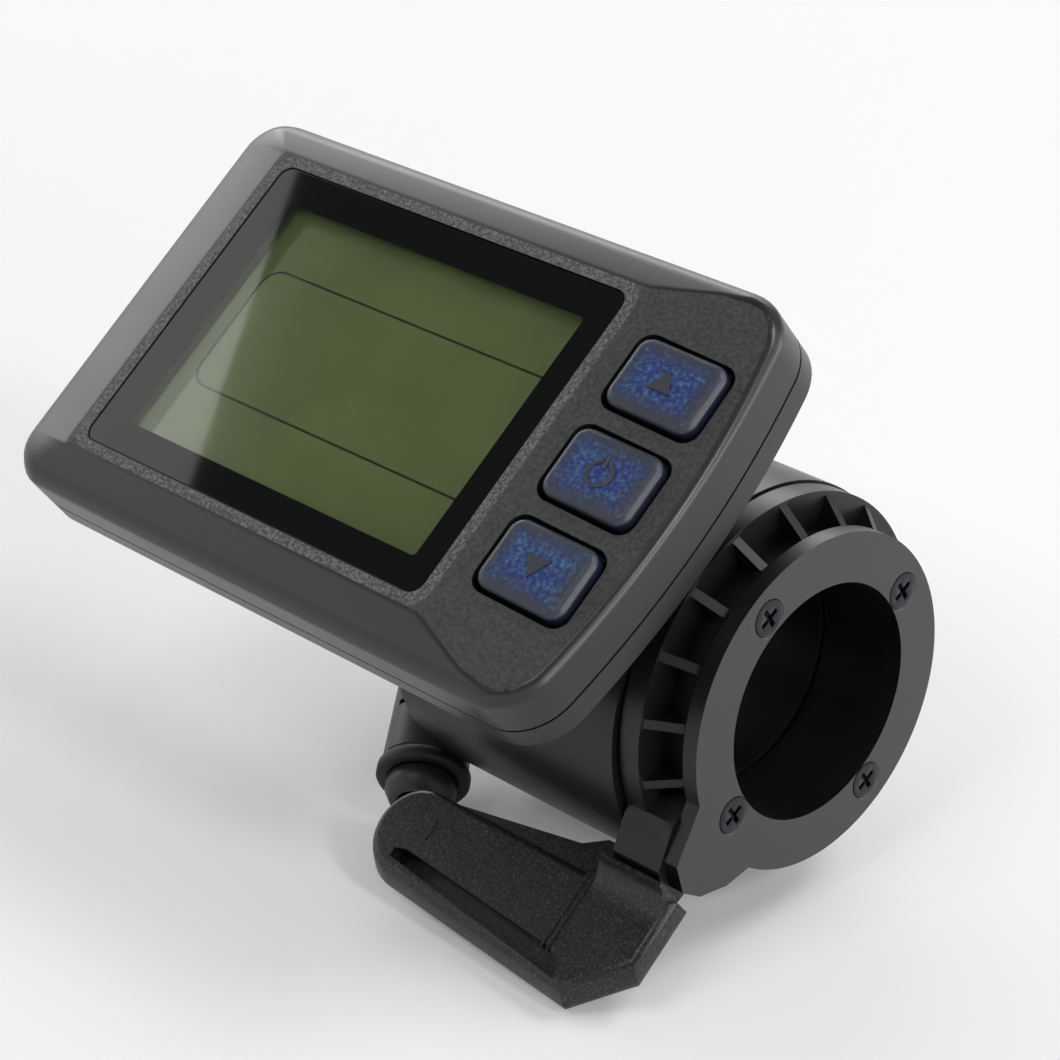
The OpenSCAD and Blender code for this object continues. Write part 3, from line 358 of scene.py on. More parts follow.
def speckled_nylon(colours):
    """Glass-filled nylon off a coarse tool: light specks in its colour, which are painted glints of the grain
    as well as its glass fibre, and a broken sheen under the thumb.
    """
    material, tree = start_material("glass_filled_speckled_nylon")
    grain, specks = noise(tree, 0.38, 5.0), noise(tree, 0.26, 3.0)
    # Painted glints: the light specks, twelve times the lever's colour, stand for the grain's glints as well
    # as for glass fibre
    colour = two_colours(tree, specks, colours.lever, shade(colours.lever, 12), 0.5, 0.76)
    finish_moulded(tree, colour, grain, 0.07, 6, (0.26, 0.4), 0.42)
    return material


def printed_glass(name, colours, border_mm, shift, black_settings, glass_settings):
    """Glass with a black screen print of some width, shifted a little, round a clear window."""
    material, tree = start_material(name)
    half = (LENS_HIGH - LENS_LOW) / 2 - Vector((border_mm, border_mm, 0))
    outside = rounded_box_distance(tree, LENS_MID + Vector(shift), half, PRINT_CORNER_R)
    printed = worked_out(tree, outside, ("GREATER_THAN", 0.0))
    black = add_node(tree, "BsdfPrincipled", {"Base Color": colours.print_black, **black_settings})
    clear = {"Transmission Weight": 1.0, "IOR": 1.5, **glass_settings}
    glass = add_node(tree, "BsdfPrincipled", clear)
    mix = add_node(tree, "MixShader", {"Fac": printed, 1: glass, 2: black})
    add_node(tree, "OutputMaterial", {"Surface": mix})
    return material


def lens_glass(colours):
    """Polished mineral glass: clear over the display, glossy deep black where the print lies behind."""
    black = {"Roughness": 0.03, "Specular IOR Level": 0.5}
    glass = {"Roughness": 0.02, "Base Color": linear("#e6ebe2")}
    return printed_glass("polished_lens_glass", colours, PRINT_W, PRINT_SHIFT, black, glass)


def lens_print(colours):
    """Black screen print behind the glass and round its edge, deep and even."""
    black, glass = {"Roughness": 0.3, "Specular IOR Level": 0.0}, {"Roughness": 0.02}
    return printed_glass("screen_printed_glass", colours, BACK_PRINT_W, (0, 0, 0), black, glass)


def liquid_crystal(colours):
    """Unlit twisted-nematic cell under its polariser: glossy olive green, with a thin dark frame line."""
    material, tree = start_material("liquid_crystal_cell")
    middle = Vector((head_box("lcd_panel")[0].x + 30.5, 1.9, 0))
    outside = rounded_box_distance(tree, middle, Vector((26.8, 6.9, 0)), 2.2)
    line = worked_out(tree, outside, ("ABSOLUTE",))
    fade = {"From Min": 0.07 * MM, "From Max": 0.16 * MM}
    off_line = add_node(tree, "MapRange", {"Value": line, **fade})
    green = two_colours(tree, noise(tree, 11), shade(colours.crystal, 0.92), shade(colours.crystal, 1.06))
    shares = {0: off_line, 6: shade(colours.crystal, 0.04), 7: green}
    colour = add_node(tree, "Mix", shares, {"data_type": "RGBA"}).outputs[2]
    gloss = {"Roughness": 0.1, "Specular IOR Level": 0.8, "IOR": 1.6}
    shader = add_node(tree, "BsdfPrincipled", {"Base Color": colour, **gloss})
    add_node(tree, "OutputMaterial", {"Surface": shader})
    return material


def button_print(colours):
    """Soft-touch silicone with a rubbed blue print: blue and teal flecks that thin out towards the rim."""
    material, tree = start_material("mottled_button_silicone")
    low, high = button_box("power")
    middle = (low + high) / 2 * MM
    half_pitch = (button_box("up")[0].y - low.y) / 2 * MM
    half_extra = (high.x - low.x - high.y + low.y) / 2 * MM
    parts = add_node(tree, "SeparateXYZ", {0: head_place(tree)}).outputs
    row = (("SUBTRACT", middle.y), ("WRAP", -half_pitch, half_pitch), ("ABSOLUTE",))
    upward = worked_out(tree, parts["Y"], *row)
    flecks = noise(tree, 0.55, 5.0)
    ragged = worked_out(tree, flecks, ("MULTIPLY", -4 * MM))
    column = (("SUBTRACT", middle.x), ("ABSOLUTE",), ("SUBTRACT", half_extra))
    reach = worked_out(tree, parts["X"], *column, ("MAXIMUM", upward), ("ADD", ragged))
    fade = {"From Min": 1.2 * MM, "From Max": -0.7 * MM}
    printed = add_node(tree, "MapRange", {"Value": reach, **fade})
    specks = noise(tree, 0.45, 5.0)
    blue = two_colours(tree, specks, colours.button_middle, colours.button_fleck, 0.46, 0.72)
    colour = add_node(tree, "Mix", {0: printed, 6: colours.button, 7: blue}, {"data_type": "RGBA"})
    finish_moulded(tree, colour.outputs[2], flecks, 0.05, 1.2, (0.34, 0.5), 0.45)
    return material


def drawn_metal(name, colour, streak_mm, roughness, metallic=1.0):
    """Metal with fine streaks from its drawing or turning, which break up its highlights."""
    return moulded(name, linear(colour), streak_mm, 0.004, roughness, 0.08, 0.1, Metallic=metallic)


def plain_moulded(name, colour, grain_mm, roughness):
    """Plain moulded plastic or rubber: an even colour with a fine skin."""
    return moulded(name, linear(colour), grain_mm, 0.01, roughness)


def deselect():
    if bpy.context.mode != "OBJECT":
        bpy.ops.object.mode_set(mode="OBJECT")
    bpy.ops.object.select_all(action="DESELECT")


def make_active(piece):
    deselect()
    piece.select_set(True)
    bpy.context.view_layer.objects.active = piece


def enter(piece):
    make_active(piece)
    bpy.ops.object.mode_set(mode="EDIT")


def leave():
    bpy.ops.object.mode_set(mode="OBJECT")


def choose(piece, kind, rule):
    """Selects, in edit mode, the vertices, edges or faces that a rule picks, and no others."""
    bpy.ops.mesh.select_mode(type=kind)
    bpy.ops.mesh.select_all(action="DESELECT")
    mesh = bmesh.from_edit_mesh(piece.data)
    for part in {"VERT": mesh.verts, "EDGE": mesh.edges, "FACE": mesh.faces}[kind]:
        if rule(part):
            part.select_set(True)
    bmesh.update_edit_mesh(piece.data)


def reshape(piece, rule, chosen_only=False):
    """Moves vertices in edit mode: the rule takes a place in millimetres and gives the new one."""
    mesh = bmesh.from_edit_mesh(piece.data)
    for vertex in mesh.verts:
        if vertex.select or not chosen_only:
            vertex.co = Vector(rule(vertex.co / MM)) * MM
    bmesh.update_edit_mesh(piece.data)


def is_upright(edge):
    return (edge.verts[0].co - edge.verts[1].co).xy.length < NEAR


def faces_up(face):
    return face.normal.z > 0.9


def at_height(z):
    """A rule that picks edges which lie at a height in millimetres."""
    return lambda edge: all(abs(vertex.co.z - z * MM) < NEAR for vertex in edge.verts)


def bevel(width, segments):
    bpy.ops.mesh.bevel(offset=width, segments=segments, affect="EDGES")


def extrude(height_mm):
    bpy.ops.mesh.extrude_region_move(TRANSFORM_OT_translate={"value": (0, 0, height_mm * MM)})


def turn_outwards():
    """Selects a whole mesh and points its faces outwards."""
    bpy.ops.mesh.select_all(action="SELECT")
    bpy.ops.mesh.normals_make_consistent(inside=False)


def merge_doubles(threshold=0.001 * MM):
    bpy.ops.mesh.select_all(action="SELECT")
    bpy.ops.mesh.remove_doubles(threshold=threshold)


def apply_place():
    bpy.ops.object.transform_apply(location=True, rotation=True, scale=True)


def added(name):
    """The primitive that was added last, under its name."""
    piece = bpy.context.active_object
    piece.name = piece.data.name = name
    return piece


def start_block(name, low, high):
    """A cube primitive between two corners given in millimetres."""
    deselect()
    bpy.ops.mesh.primitive_cube_add(size=1)
    piece = added(name)
    piece.scale = (Vector(high) - Vector(low)) * MM
    piece.location = (Vector(high) + Vector(low)) / 2 * MM
    apply_place()
    return piece


def start_rod(name, radius, low_z, high_z, place=(0, 0), sides=96, low_radius=None):
    """A cylinder along z, or a cone where its lower radius differs, in millimetres."""
    deselect()
    bpy.ops.mesh.primitive_cone_add(
        vertices=sides,
        radius1=(radius if low_radius is None else low_radius) * MM,
        radius2=radius * MM,
        depth=(high_z - low_z) * MM,
        location=(place[0] * MM, place[1] * MM, (low_z + high_z) / 2 * MM),
    )
    piece = added(name)
    apply_place()
    return piece


def start_plate(name, outline, low_z, high_z):
    """A flat piece with an outline in x and y, in millimetres: a filled circle, reshaped and extruded."""
    deselect()
    bpy.ops.mesh.primitive_circle_add(vertices=len(outline), radius=1, fill_type="NGON")
    piece = added(name)
    enter(piece)
    mesh = bmesh.from_edit_mesh(piece.data)
    for vertex, (x, y) in zip(mesh.verts, outline):
        vertex.co = (x * MM, y * MM, low_z * MM)
    bmesh.update_edit_mesh(piece.data)
    bpy.ops.mesh.select_all(action="SELECT")
    extrude(high_z - low_z)
    turn_outwards()
    leave()
    return piece


def round_block(name, low, high, radius, segments=6):
    """A block whose upright edges are rounded."""
    piece = start_block(name, low, high)
    enter(piece)
    choose(piece, "EDGE", is_upright)
    bevel(radius * MM, segments)
    leave()
    return piece


def lathe(name, stations, sides=64):
    """A turned piece along z, from pairs of radius and height: a disc extruded from station to station."""
    radius, height = stations[0]
    deselect()
    bpy.ops.mesh.primitive_circle_add(
        vertices=sides, radius=radius * MM, fill_type="NGON", location=(0, 0, height * MM)
    )
    piece = added(name)
    apply_place()
    enter(piece)
    bpy.ops.mesh.select_all(action="SELECT")
    for new_radius, new_height in stations[1:]:
        extrude(new_height - height)
        scale = new_radius / radius
        bpy.ops.transform.resize(value=(scale, scale, 1), center_override=(0, 0, new_height * MM))
        radius, height = new_radius, new_height
    merge_doubles()
    turn_outwards()
    leave()
    return piece


def move(piece, turn=(0, 0, 0), place=(0, 0, 0)):
    """Turns a piece about the origin, then moves it, in millimetres, with both kept in its mesh."""
    make_active(piece)
    piece.rotation_euler = Euler(turn)
    piece.location = Vector(place) * MM
    apply_place()
    return piece


def lean(piece):
    """Takes a piece from the display head's own frame to the handlebar's."""
    return move(piece, (DISPLAY_TILT, 0, 0))


def along_bar(piece):
    """Lays a piece that was made along z along the handlebar."""
    return move(piece, (0, pi / 2, 0))


def copy_of(node, name):
    """A merged copy of a CAD node."""
    make_active(NODES[node])
    bpy.ops.object.duplicate()
    piece = bpy.context.view_layer.objects.active
    piece.parent = None
    piece.name = piece.data.name = name
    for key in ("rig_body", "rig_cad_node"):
        del piece[key]
    piece.data.materials.clear()
    enter(piece)
    merge_doubles()
    turn_outwards()
    leave()
    return piece


def apply_modifier(piece, kind, **settings):
    make_active(piece)
    modifier = piece.modifiers.new(kind.title(), kind)
    for key, value in settings.items():
        setattr(modifier, key, value)
    bpy.ops.object.modifier_apply(modifier=modifier.name)


def combine(piece, tool, operation="DIFFERENCE"):
    """Cuts a tool out of a piece, or joins it on, and removes the tool."""
    apply_modifier(piece, "BOOLEAN", operation=operation, object=tool, solver="EXACT")
    make_active(tool)
    bpy.ops.object.delete()


def join(piece, *others):
    make_active(piece)
    for other in others:
        other.select_set(True)
    bpy.ops.object.join()


def round_edges(piece, width, segments=3, angle=35):
    """Rounds every edge sharper than an angle, as a moulding tool leaves them."""
    limits = {"limit_method": "ANGLE", "angle_limit": radians(angle), "miter_outer": "MITER_ARC"}
    apply_modifier(piece, "BEVEL", width=width, segments=segments, **limits)


def dress(piece, *materials):
    piece.data.materials.clear()
    for material in materials:
        piece.data.materials.append(material)


def paint(piece, index, rule):
    """Gives a material slot to the faces that a rule on their middle, in millimetres, and normal picks."""
    for face in piece.data.polygons:
        if rule(face.center / MM, face.normal):
            face.material_index = index


def settle(piece, body, node, angle=38):
    """Smooths a piece over edges up to an angle, and makes it ride on its body in place of its node."""
    make_active(piece)
    bpy.ops.object.shade_smooth_by_angle(angle=radians(angle))
    apply_modifier(piece, "WEIGHTED_NORMAL", keep_sharp=True, weight=80)
    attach(piece, body)
    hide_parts(node)


def rounded_copy(node, body, material, width, segments=3, trim=None):
    """Puts a copy with rounded edges in a node's place, cut back first by a tool where there is one."""
    piece = copy_of(node, node + "_moulded")
    if trim is not None:
        combine(piece, trim)
    round_edges(piece, width, segments)
    dress(piece, material)
    settle(piece, body, node)


def arc(middle, radius, start, end, steps):
    """Points of an arc, with its ends given in radians."""
    turns = [start + (end - start) * i / steps for i in range(steps + 1)]
    return [(middle[0] + radius * cos(t), middle[1] + radius * sin(t)) for t in turns]


def head_outline(margin):
    """Outline of the display head, drawn in by a margin: rounded corners and a bowed right-hand end."""
    half = (HEAD_HIGH.y - HEAD_LOW.y) / 2
    left, right, quarter = LEFT_CORNER_R, RIGHT_CORNER_R, pi / 2
    bow_x = HEAD_HIGH.x - END_BOW_R
    lean_y = half - right
    lean_x = sqrt((END_BOW_R - right) ** 2 - lean_y**2)
    tip = atan2(lean_y, lean_x)
    low, high = HEAD_MID_Y - half, HEAD_MID_Y + half
    right_x, left_x = bow_x + lean_x, HEAD_LOW.x + left
    points = arc((bow_x, HEAD_MID_Y), END_BOW_R - margin, -tip, tip, 16)
    points += arc((right_x, high - right), right - margin, tip, quarter, 10)[1:]
    points += arc((left_x, high - left), left - margin, quarter, 2 * quarter, 10)
    points += arc((left_x, low + left), left - margin, 2 * quarter, 3 * quarter, 10)
    points += arc((right_x, low + right), right - margin, 3 * quarter, 4 * quarter - tip, 10)[:-1]
    return points


def head_prism(name, margin, low_z, high_z):
    """A block with the display head's outline, drawn in by a margin, opened for editing."""
    piece = start_plate(name, head_outline(margin), low_z, high_z)
    enter(piece)
    return piece


def cut_at_panel(sink):
    """Cuts away what lies above the button panel's plane, sunk by a depth, and closes the cut."""
    bpy.ops.mesh.select_all(action="SELECT")
    bpy.ops.mesh.bisect(
        plane_co=(LAND_HIGH.x * MM, 0, (HEAD_HIGH.z - sink) * MM),
        plane_no=(sin(PANEL_SLOPE), 0, cos(PANEL_SLOPE)),
        use_fill=True,
        clear_outer=True,
    )


def on_land(place):
    """Brings the rim's last loop on to the outline of the level land."""
    low, high = LAND_LOW, LAND_HIGH
    return Vector((max(place.x, low.x), min(max(place.y, low.y), high.y), HEAD_HIGH.z))


def is_flat(face):
    """Whether a face is the level land or the button panel."""
    return face.normal.z > cos(PANEL_SLOPE) - 0.0005 and face.calc_area() > (8 * MM) ** 2


def settings(context):
    return context.scene.display_sizes, context.scene.display_colours


class DISPLAY_OT_front_shell(bpy.types.Operator):
    """Builds the front shell: crowned rim, grained land, sloping panel, window and button openings"""

    bl_idname = "display.front_shell"
    bl_label = "Front shell"

    def execute(self, context):
        sizes, colours = settings(context)
        shell = head_prism("front_shell_moulded", 0, HEAD_LOW.z + SEAM, WALL_TOP_Z)
        choose(shell, "FACE", lambda face: face.normal.z < -0.9)
        bpy.ops.mesh.inset(thickness=SEAM * MM)
        extrude(-SEAM)
        choose(shell, "FACE", faces_up)
        for inset, rise in RIM_STEPS:
            bpy.ops.mesh.inset(thickness=inset * MM)
            bpy.ops.transform.translate(value=(0, 0, rise * MM))
        bpy.ops.mesh.inset(thickness=0.2 * MM)
        reshape(shell, on_land, chosen_only=True)
        merge_doubles(NEAR)
        cut_at_panel(0)
        choose(shell, "EDGE", lambda edge: any(is_flat(face) for face in edge.link_faces))
        bevel(sizes.crease, 3)
        choose(shell, "EDGE", at_height(WALL_TOP_Z))
        bevel(sizes.wall_top, 3)
        leave()
        cavity = head_prism("cavity", WALL, HEAD_LOW.z - WALL, HEAD_HIGH.z - 2 * SKIN)
        choose(cavity, "FACE", faces_up)
        bpy.ops.mesh.inset(thickness=2 * SKIN * MM)
        bpy.ops.transform.translate(value=(0, 0, SKIN * MM))
        cut_at_panel(SKIN)
        leave()
        combine(shell, cavity)
        ledge_z = LENS_LOW.z - LEDGE_T
        ledge = (*LAND_LOW.xy, ledge_z), (*LAND_HIGH.xy, LENS_HIGH.z - 0.4)
        combine(shell, round_block("ledge", *ledge, LAND_CORNER_R), "UNION")
        low, high = LENS_LOW.xy, LENS_HIGH.xy
        cuts = [
            ("pocket", low - LENS_PLAY, high + LENS_PLAY, LENS_LOW.z - LENS_DROP, 1.5),
            ("window", low + LEDGE_W, high - LEDGE_W, ledge_z - 2, 0.7),
        ]
        reach = Vector((BUTTON_GAP, BUTTON_GAP))
        for name in ("up", "power", "down"):
            low, high = button_box(name)
            cuts.append(("opening", low.xy - reach, high.xy + reach, HEAD_LOW.z, 1.6))
        for name, low, high, low_z, radius in cuts:
            combine(shell, round_block(name, (*low, low_z), (*high, TOOL_TOP_Z), radius))
        round_edges(shell, sizes.edge, 2, 48)
        dress(shell, satin_abs(colours), grained_abs(colours))
        paint(shell, 1, lambda place, normal: normal.z > 0.99 and place.z > HEAD_HIGH.z - 2.4)
        lean(shell)
        settle(shell, "housing", "front_shell", 34)
        return {"FINISHED"}


def button_box(name):
    """Lowest and highest corners of a button without its flange, in the display head's own frame."""
    low, high = head_box("button_" + name)
    flange = Vector((0, BUTTON_FLANGE + BUTTON_GAP, 0))
    return low + flange, high - flange


def along_panel(place, middle_x):
    """Tips a place on a button's top with the panel, a little less than the panel falls."""
    return Vector((place.x, place.y, place.z - BUTTON_TIP * PANEL_FALL * (place.x - middle_x)))


class DISPLAY_OT_rear_shell(bpy.types.Operator):
    """Rounds the rear shell"""

    bl_idname = "display.rear_shell"
    bl_label = "Rear shell"

    def execute(self, context):
        sizes, colours = settings(context)
        rounded_copy("rear_shell", "housing", satin_abs(colours), sizes.case_edge)
        return {"FINISHED"}


class DISPLAY_OT_window(bpy.types.Operator):
    """Builds the glass lens with its printed black border, and finishes the liquid crystal behind it"""

    bl_idname = "display.window"
    bl_label = "Window"

    def execute(self, context):
        colours = settings(context)[1]
        lens = round_block("window_lens_printed", LENS_LOW, LENS_HIGH, 1.4)
        dress(lens, lens_glass(colours), lens_print(colours))
        paint(lens, 1, lambda place, normal: normal.z < 0.9)
        round_edges(lens, 0.12 * MM, 2, 60)
        lean(lens)
        settle(lens, "housing", "window_lens")
        dress(NODES["lcd_panel"], liquid_crystal(colours))
        return {"FINISHED"}


def symbol_pieces(kind, place):
    """A button's raised generic symbol at a place in millimetres: arrow up or down, or a ring."""
    x, y, z = place
    if kind == "power":
        ring = start_rod("symbol", 1.45, z - 0.3, z + 0.1, (x, y), 48)
        combine(ring, start_rod("hole", 1.05, z - 1, z + 1, (x, y), 48))
        combine(ring, start_block("gap", (x - 0.35, y, z - 1), (x + 0.35, y + 2, z + 1)))
        bar = start_block("bar", (x - 0.17, y + 0.5, z - 0.3), (x + 0.17, y + 1.7, z + 0.1))
        return [ring, bar]
    point = 1 if kind == "up" else -1
    turns = [radians(point * 90 + turn) for turn in (0, 120, 240)]
    corners = [(x + 1.5 * cos(a), y - 0.2 * point + 1.5 * sin(a)) for a in turns]
    return [start_plate("symbol", corners, z - 0.3, z + 0.14)]


class DISPLAY_OT_buttons(bpy.types.Operator):
    """Builds the three buttons: rubbed blue tops, dark sides, and raised generic symbols with painted shade
    on their sides
    """

    bl_idname = "display.buttons"
    bl_label = "Buttons"

    def execute(self, context):
        sizes, colours = settings(context)
        rim = moulded("soft_touch_silicone", colours.button, 0.3, 0.008, 0.42, 0.05, 0.08)
        side = moulded("dyed_silicone_side_and_painted_symbol_shade", colours.button_side, 0.5, 0.006, 0.3, 0.05, 0.1)
        printed = button_print(colours)
        play = Vector((sizes.button_play / MM, sizes.button_play / MM, 0))
        for name in ("up", "power", "down"):
            low, high = button_box(name)
            middle = (low + high) / 2
            top = high.z - PANEL_FALL * (middle.x - low.x) - BUTTON_DROP
            upper = (*(high - play).xy, top)
            button = round_block("button_" + name + "_moulded", low + play, upper, BUTTON_CORNER_R, 5)
            enter(button)
            choose(button, "FACE", faces_up)
            bevel(sizes.button_edge, 4)
            leave()
            dress(button, printed, side)
            paint(button, 1, lambda place, normal: normal.z < 0.3)
            symbols = symbol_pieces(name, (middle.x, middle.y, top))
            for symbol in symbols:
                round_edges(symbol, 0.06 * MM, 2)
                dress(symbol, rim, side)
                # Painted shade: a symbol's sides take the dark silicone of the button's sides, so that its
                # edges read as shaded
                paint(symbol, 1, lambda place, normal: normal.z < 0.7)
            reach = Vector((-BUTTON_CORNER_R, BUTTON_FLANGE + BUTTON_GAP))
            flange = start_block(
                "flange", (*(low.xy - reach), low.z), (*(high.xy + reach), low.z + BUTTON_FLANGE)
            )
            dress(flange, side)
            join(button, flange, *symbols)
            enter(button)
            reshape(button, lambda p: along_panel(p, middle.x) if p.z > low.z + 1 else p)
            leave()
            lean(button)
            settle(button, name + "_button", "button_" + name)
        return {"FINISHED"}


def paddle_share(y):
    """How much of the skirt's flare a place has: none at the back edge and all towards the front."""
    return min(max((y - 2) / 4, 0), 1)


def to_lever(piece):
    """Takes a piece from the paddle's own frame to its place under the hub."""
    root = (-PADDLE_ROOT_R * cos(PADDLE_ROOT_DIR), -PADDLE_ROOT_R * sin(PADDLE_ROOT_DIR))
    return move(piece, (PADDLE_TURN, 0, 0), (RING_X, *root))


class DISPLAY_OT_paddle(bpy.types.Operator):
    """Builds the thumb paddle: flared skirt, trench, thumb pocket, cross lines, web and fillet to the arm"""

    bl_idname = "display.paddle"
    bl_label = "Paddle"

    def execute(self, context):
        sizes, colours = settings(context)
        end_x, end_y = -PADDLE_LEN + PADDLE_END_R, PADDLE_BACK + PADDLE_END_R
        outline = [(0, 0), (0, 6.7), (-5.3, PADDLE_DEPTH)]
        outline += arc((end_x, end_y), PADDLE_END_R, radians(90), radians(270), 20)
        outline += [(-10.4, PADDLE_BACK), (-9, 0)]
        paddle = start_plate("thumb_paddle", outline, 0, 0.9)
        enter(paddle)
        choose(paddle, "FACE", faces_up)
        for depth, flare in ((0, 0.55), (0.9, 0.5), (PADDLE_T - 1.8, 0.15)):
            if depth:
                extrude(depth)
            reshape(paddle, lambda p: (p.x, p.y + flare * paddle_share(p.y), p.z), chosen_only=True)
        choose(paddle, "EDGE", at_height(0))
        bevel(sizes.paddle_edge, 4)
        choose(paddle, "EDGE", at_height(PADDLE_T))
        bevel(0.6 * MM, 4)
        leave()
        web = [(-7.5, -2.3), (-1, 1), (-1, 2.5), (-29, 2.5), (-29, 1.6), (-13, -0.85), (-10.6, -2.3)]
        combine(paddle, start_plate("web", web, 1, PADDLE_T - 0.1), "UNION")
        trench = [(-6.6, 11.4), (-7.0, 9.9), (-9.3, 9.0), (-29.0, 7.6), (-30.3, 8.0), (-30.2, 8.9)]
        combine(paddle, start_plate("trench", trench, -1, 2.5))
        pocket = [(-10.5, 4.1), (-10.5, 7.8), (-27.8, 6.0), (-27.8, 3.9)]
        combine(paddle, start_plate("pocket", pocket, -1, 0.14))
        out, up = PADDLE_FILLET
        scoop = arc((1, 1), 1, radians(270), radians(180), 12)
        scoop = [(out * x, up * y) for x, y in scoop]
        fillet = start_plate("fillet", [(-0.4, -0.6), (out, -0.6), *scoop, (-0.4, up)], -8.6, -0.6)
        move(fillet, (pi / 2, 0, pi / 2))
        enter(fillet)
        reshape(fillet, lambda p: (p.x, p.y, -p.z))
        turn_outwards()
        leave()
        combine(paddle, fillet, "UNION")
        round_edges(paddle, 0.1 * MM, 2, 50)
        lines = [start_block("line", (x - 0.1, 1.4, -0.1), (x + 0.1, 9.4, 0.5)) for x in (-9.6, -8.9)]
        join(paddle, *lines)
        to_lever(paddle)
        dress(paddle, speckled_nylon(colours))
        settle(paddle, "throttle", "throttle_lever")
        return {"FINISHED"}


class DISPLAY_OT_hub(bpy.types.Operator):
    """Builds the lever's ribbed hub and arm, without its paddle"""

    bl_idname = "display.hub"
    bl_label = "Hub"

    def execute(self, context):
        sizes, colours = settings(context)
        hub = copy_of("throttle_lever", "throttle_lever_hub")
        paddle_space = (-PADDLE_LEN - 2, 0, 0), (2, 20, 8)
        web_space = (-PADDLE_LEN - 2, -4, -1), (ARM_X - RING_X, 20, 8)
        for space in (paddle_space, web_space):
            combine(hub, to_lever(start_block("paddle_space", *space)))
        round_edges(hub, sizes.hub_edge, 2, 40)
        dress(hub, plain_nylon(colours))
        settle(hub, "throttle", "throttle_lever")
        return {"FINISHED"}


def bar_point(radius, direction):
    """A point seen along the handlebar, for a piece that is made along z: direction is in radians."""
    return radius * sin(direction), -radius * cos(direction)


class DISPLAY_OT_end_plate(bpy.types.Operator):
    """Builds the end plate with its tab, its bore and the countersinks of its four cross-head screws"""

    bl_idname = "display.end_plate"
    bl_label = "End plate"

    def execute(self, context):
        sizes, colours = settings(context)
        low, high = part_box("end_plate")
        plate_x = low.x / MM
        plate_r = high.z / MM
        plate = start_rod("end_plate_moulded", plate_r, plate_x, RING_X, sides=128)
        corners = [(12, -19), (plate_r, -19), *zip(PLATE_TAB_R, PLATE_TAB_TURN), (plate_r, 22), (12, 22)]
        tab = [bar_point(r, PADDLE_ROOT_DIR + radians(a)) for r, a in corners]
        combine(plate, start_plate("tab", tab, plate_x, RING_X), "UNION")
        combine(plate, start_rod("bore", PLATE_BORE_R, plate_x - 1, RING_X + 1, sides=128))
        for i in range(4):
            place = bar_point(PLATE_SCREWS_R, radians(PLATE_SCREWS_TURN + 90 * i) + pi)
            combine(plate, start_rod("sink", 1.9, RING_X - 1, RING_X + 0.01, place, 32, 0.85))
        round_edges(plate, sizes.plate_edge)
        along_bar(plate)
        satin = moulded("moulded_satin_end_plate", colours.plate, 0.3, 0.006, 0.33, 0.04, 0.05)
        dress(plate, satin, plain_nylon(colours))
        # Painted shade: the plate's outer side, its tab's sides and its bore's wall take the darker nylon of
        # the hub, so that they read as shaded
        paint(plate, 1, lambda place, normal: abs(normal.x) < 0.2)
        settle(plate, "throttle", "end_plate")
        return {"FINISHED"}


class DISPLAY_OT_housing(bpy.types.Operator):
    """Rounds the throttle's housing, the clamp, trimmed at its tongue's end, and the screws that show"""

    bl_idname = "display.housing"
    bl_label = "Housing"

    def execute(self, context):
        sizes, colours = settings(context)
        nylon = plain_nylon(colours)
        steel = drawn_metal("blackened_screw_steel", "#333438", 0.4, 0.24, 0.9)
        rounded_copy("throttle_housing", "housing", nylon, sizes.hub_edge)
        tongue_end = start_block("tongue_end", *TONGUE_END)
        rounded_copy("clamp_body", "housing", nylon, sizes.hub_edge, trim=tongue_end)
        for node, body, width_mm in (
            ("plate_screws", "throttle", 0.16),
            ("housing_screws", "housing", 0.06),
            ("case_screws", "housing", 0.06),
            ("clamp_screw", "housing", 0.1),
        ):
            rounded_copy(node, body, steel, width_mm * MM, 2)
        return {"FINISHED"}


def gland_arc(name, radius, start, end, low_z, high_z):
    """A wedge round the gland's axis between two directions, given in degrees from the side that shows."""
    ends = radians(GLAND_FRONT + start), radians(GLAND_FRONT + end)
    return start_plate(name, [(0, 0), *arc((0, 0), radius, *ends, 12)], low_z, high_z)


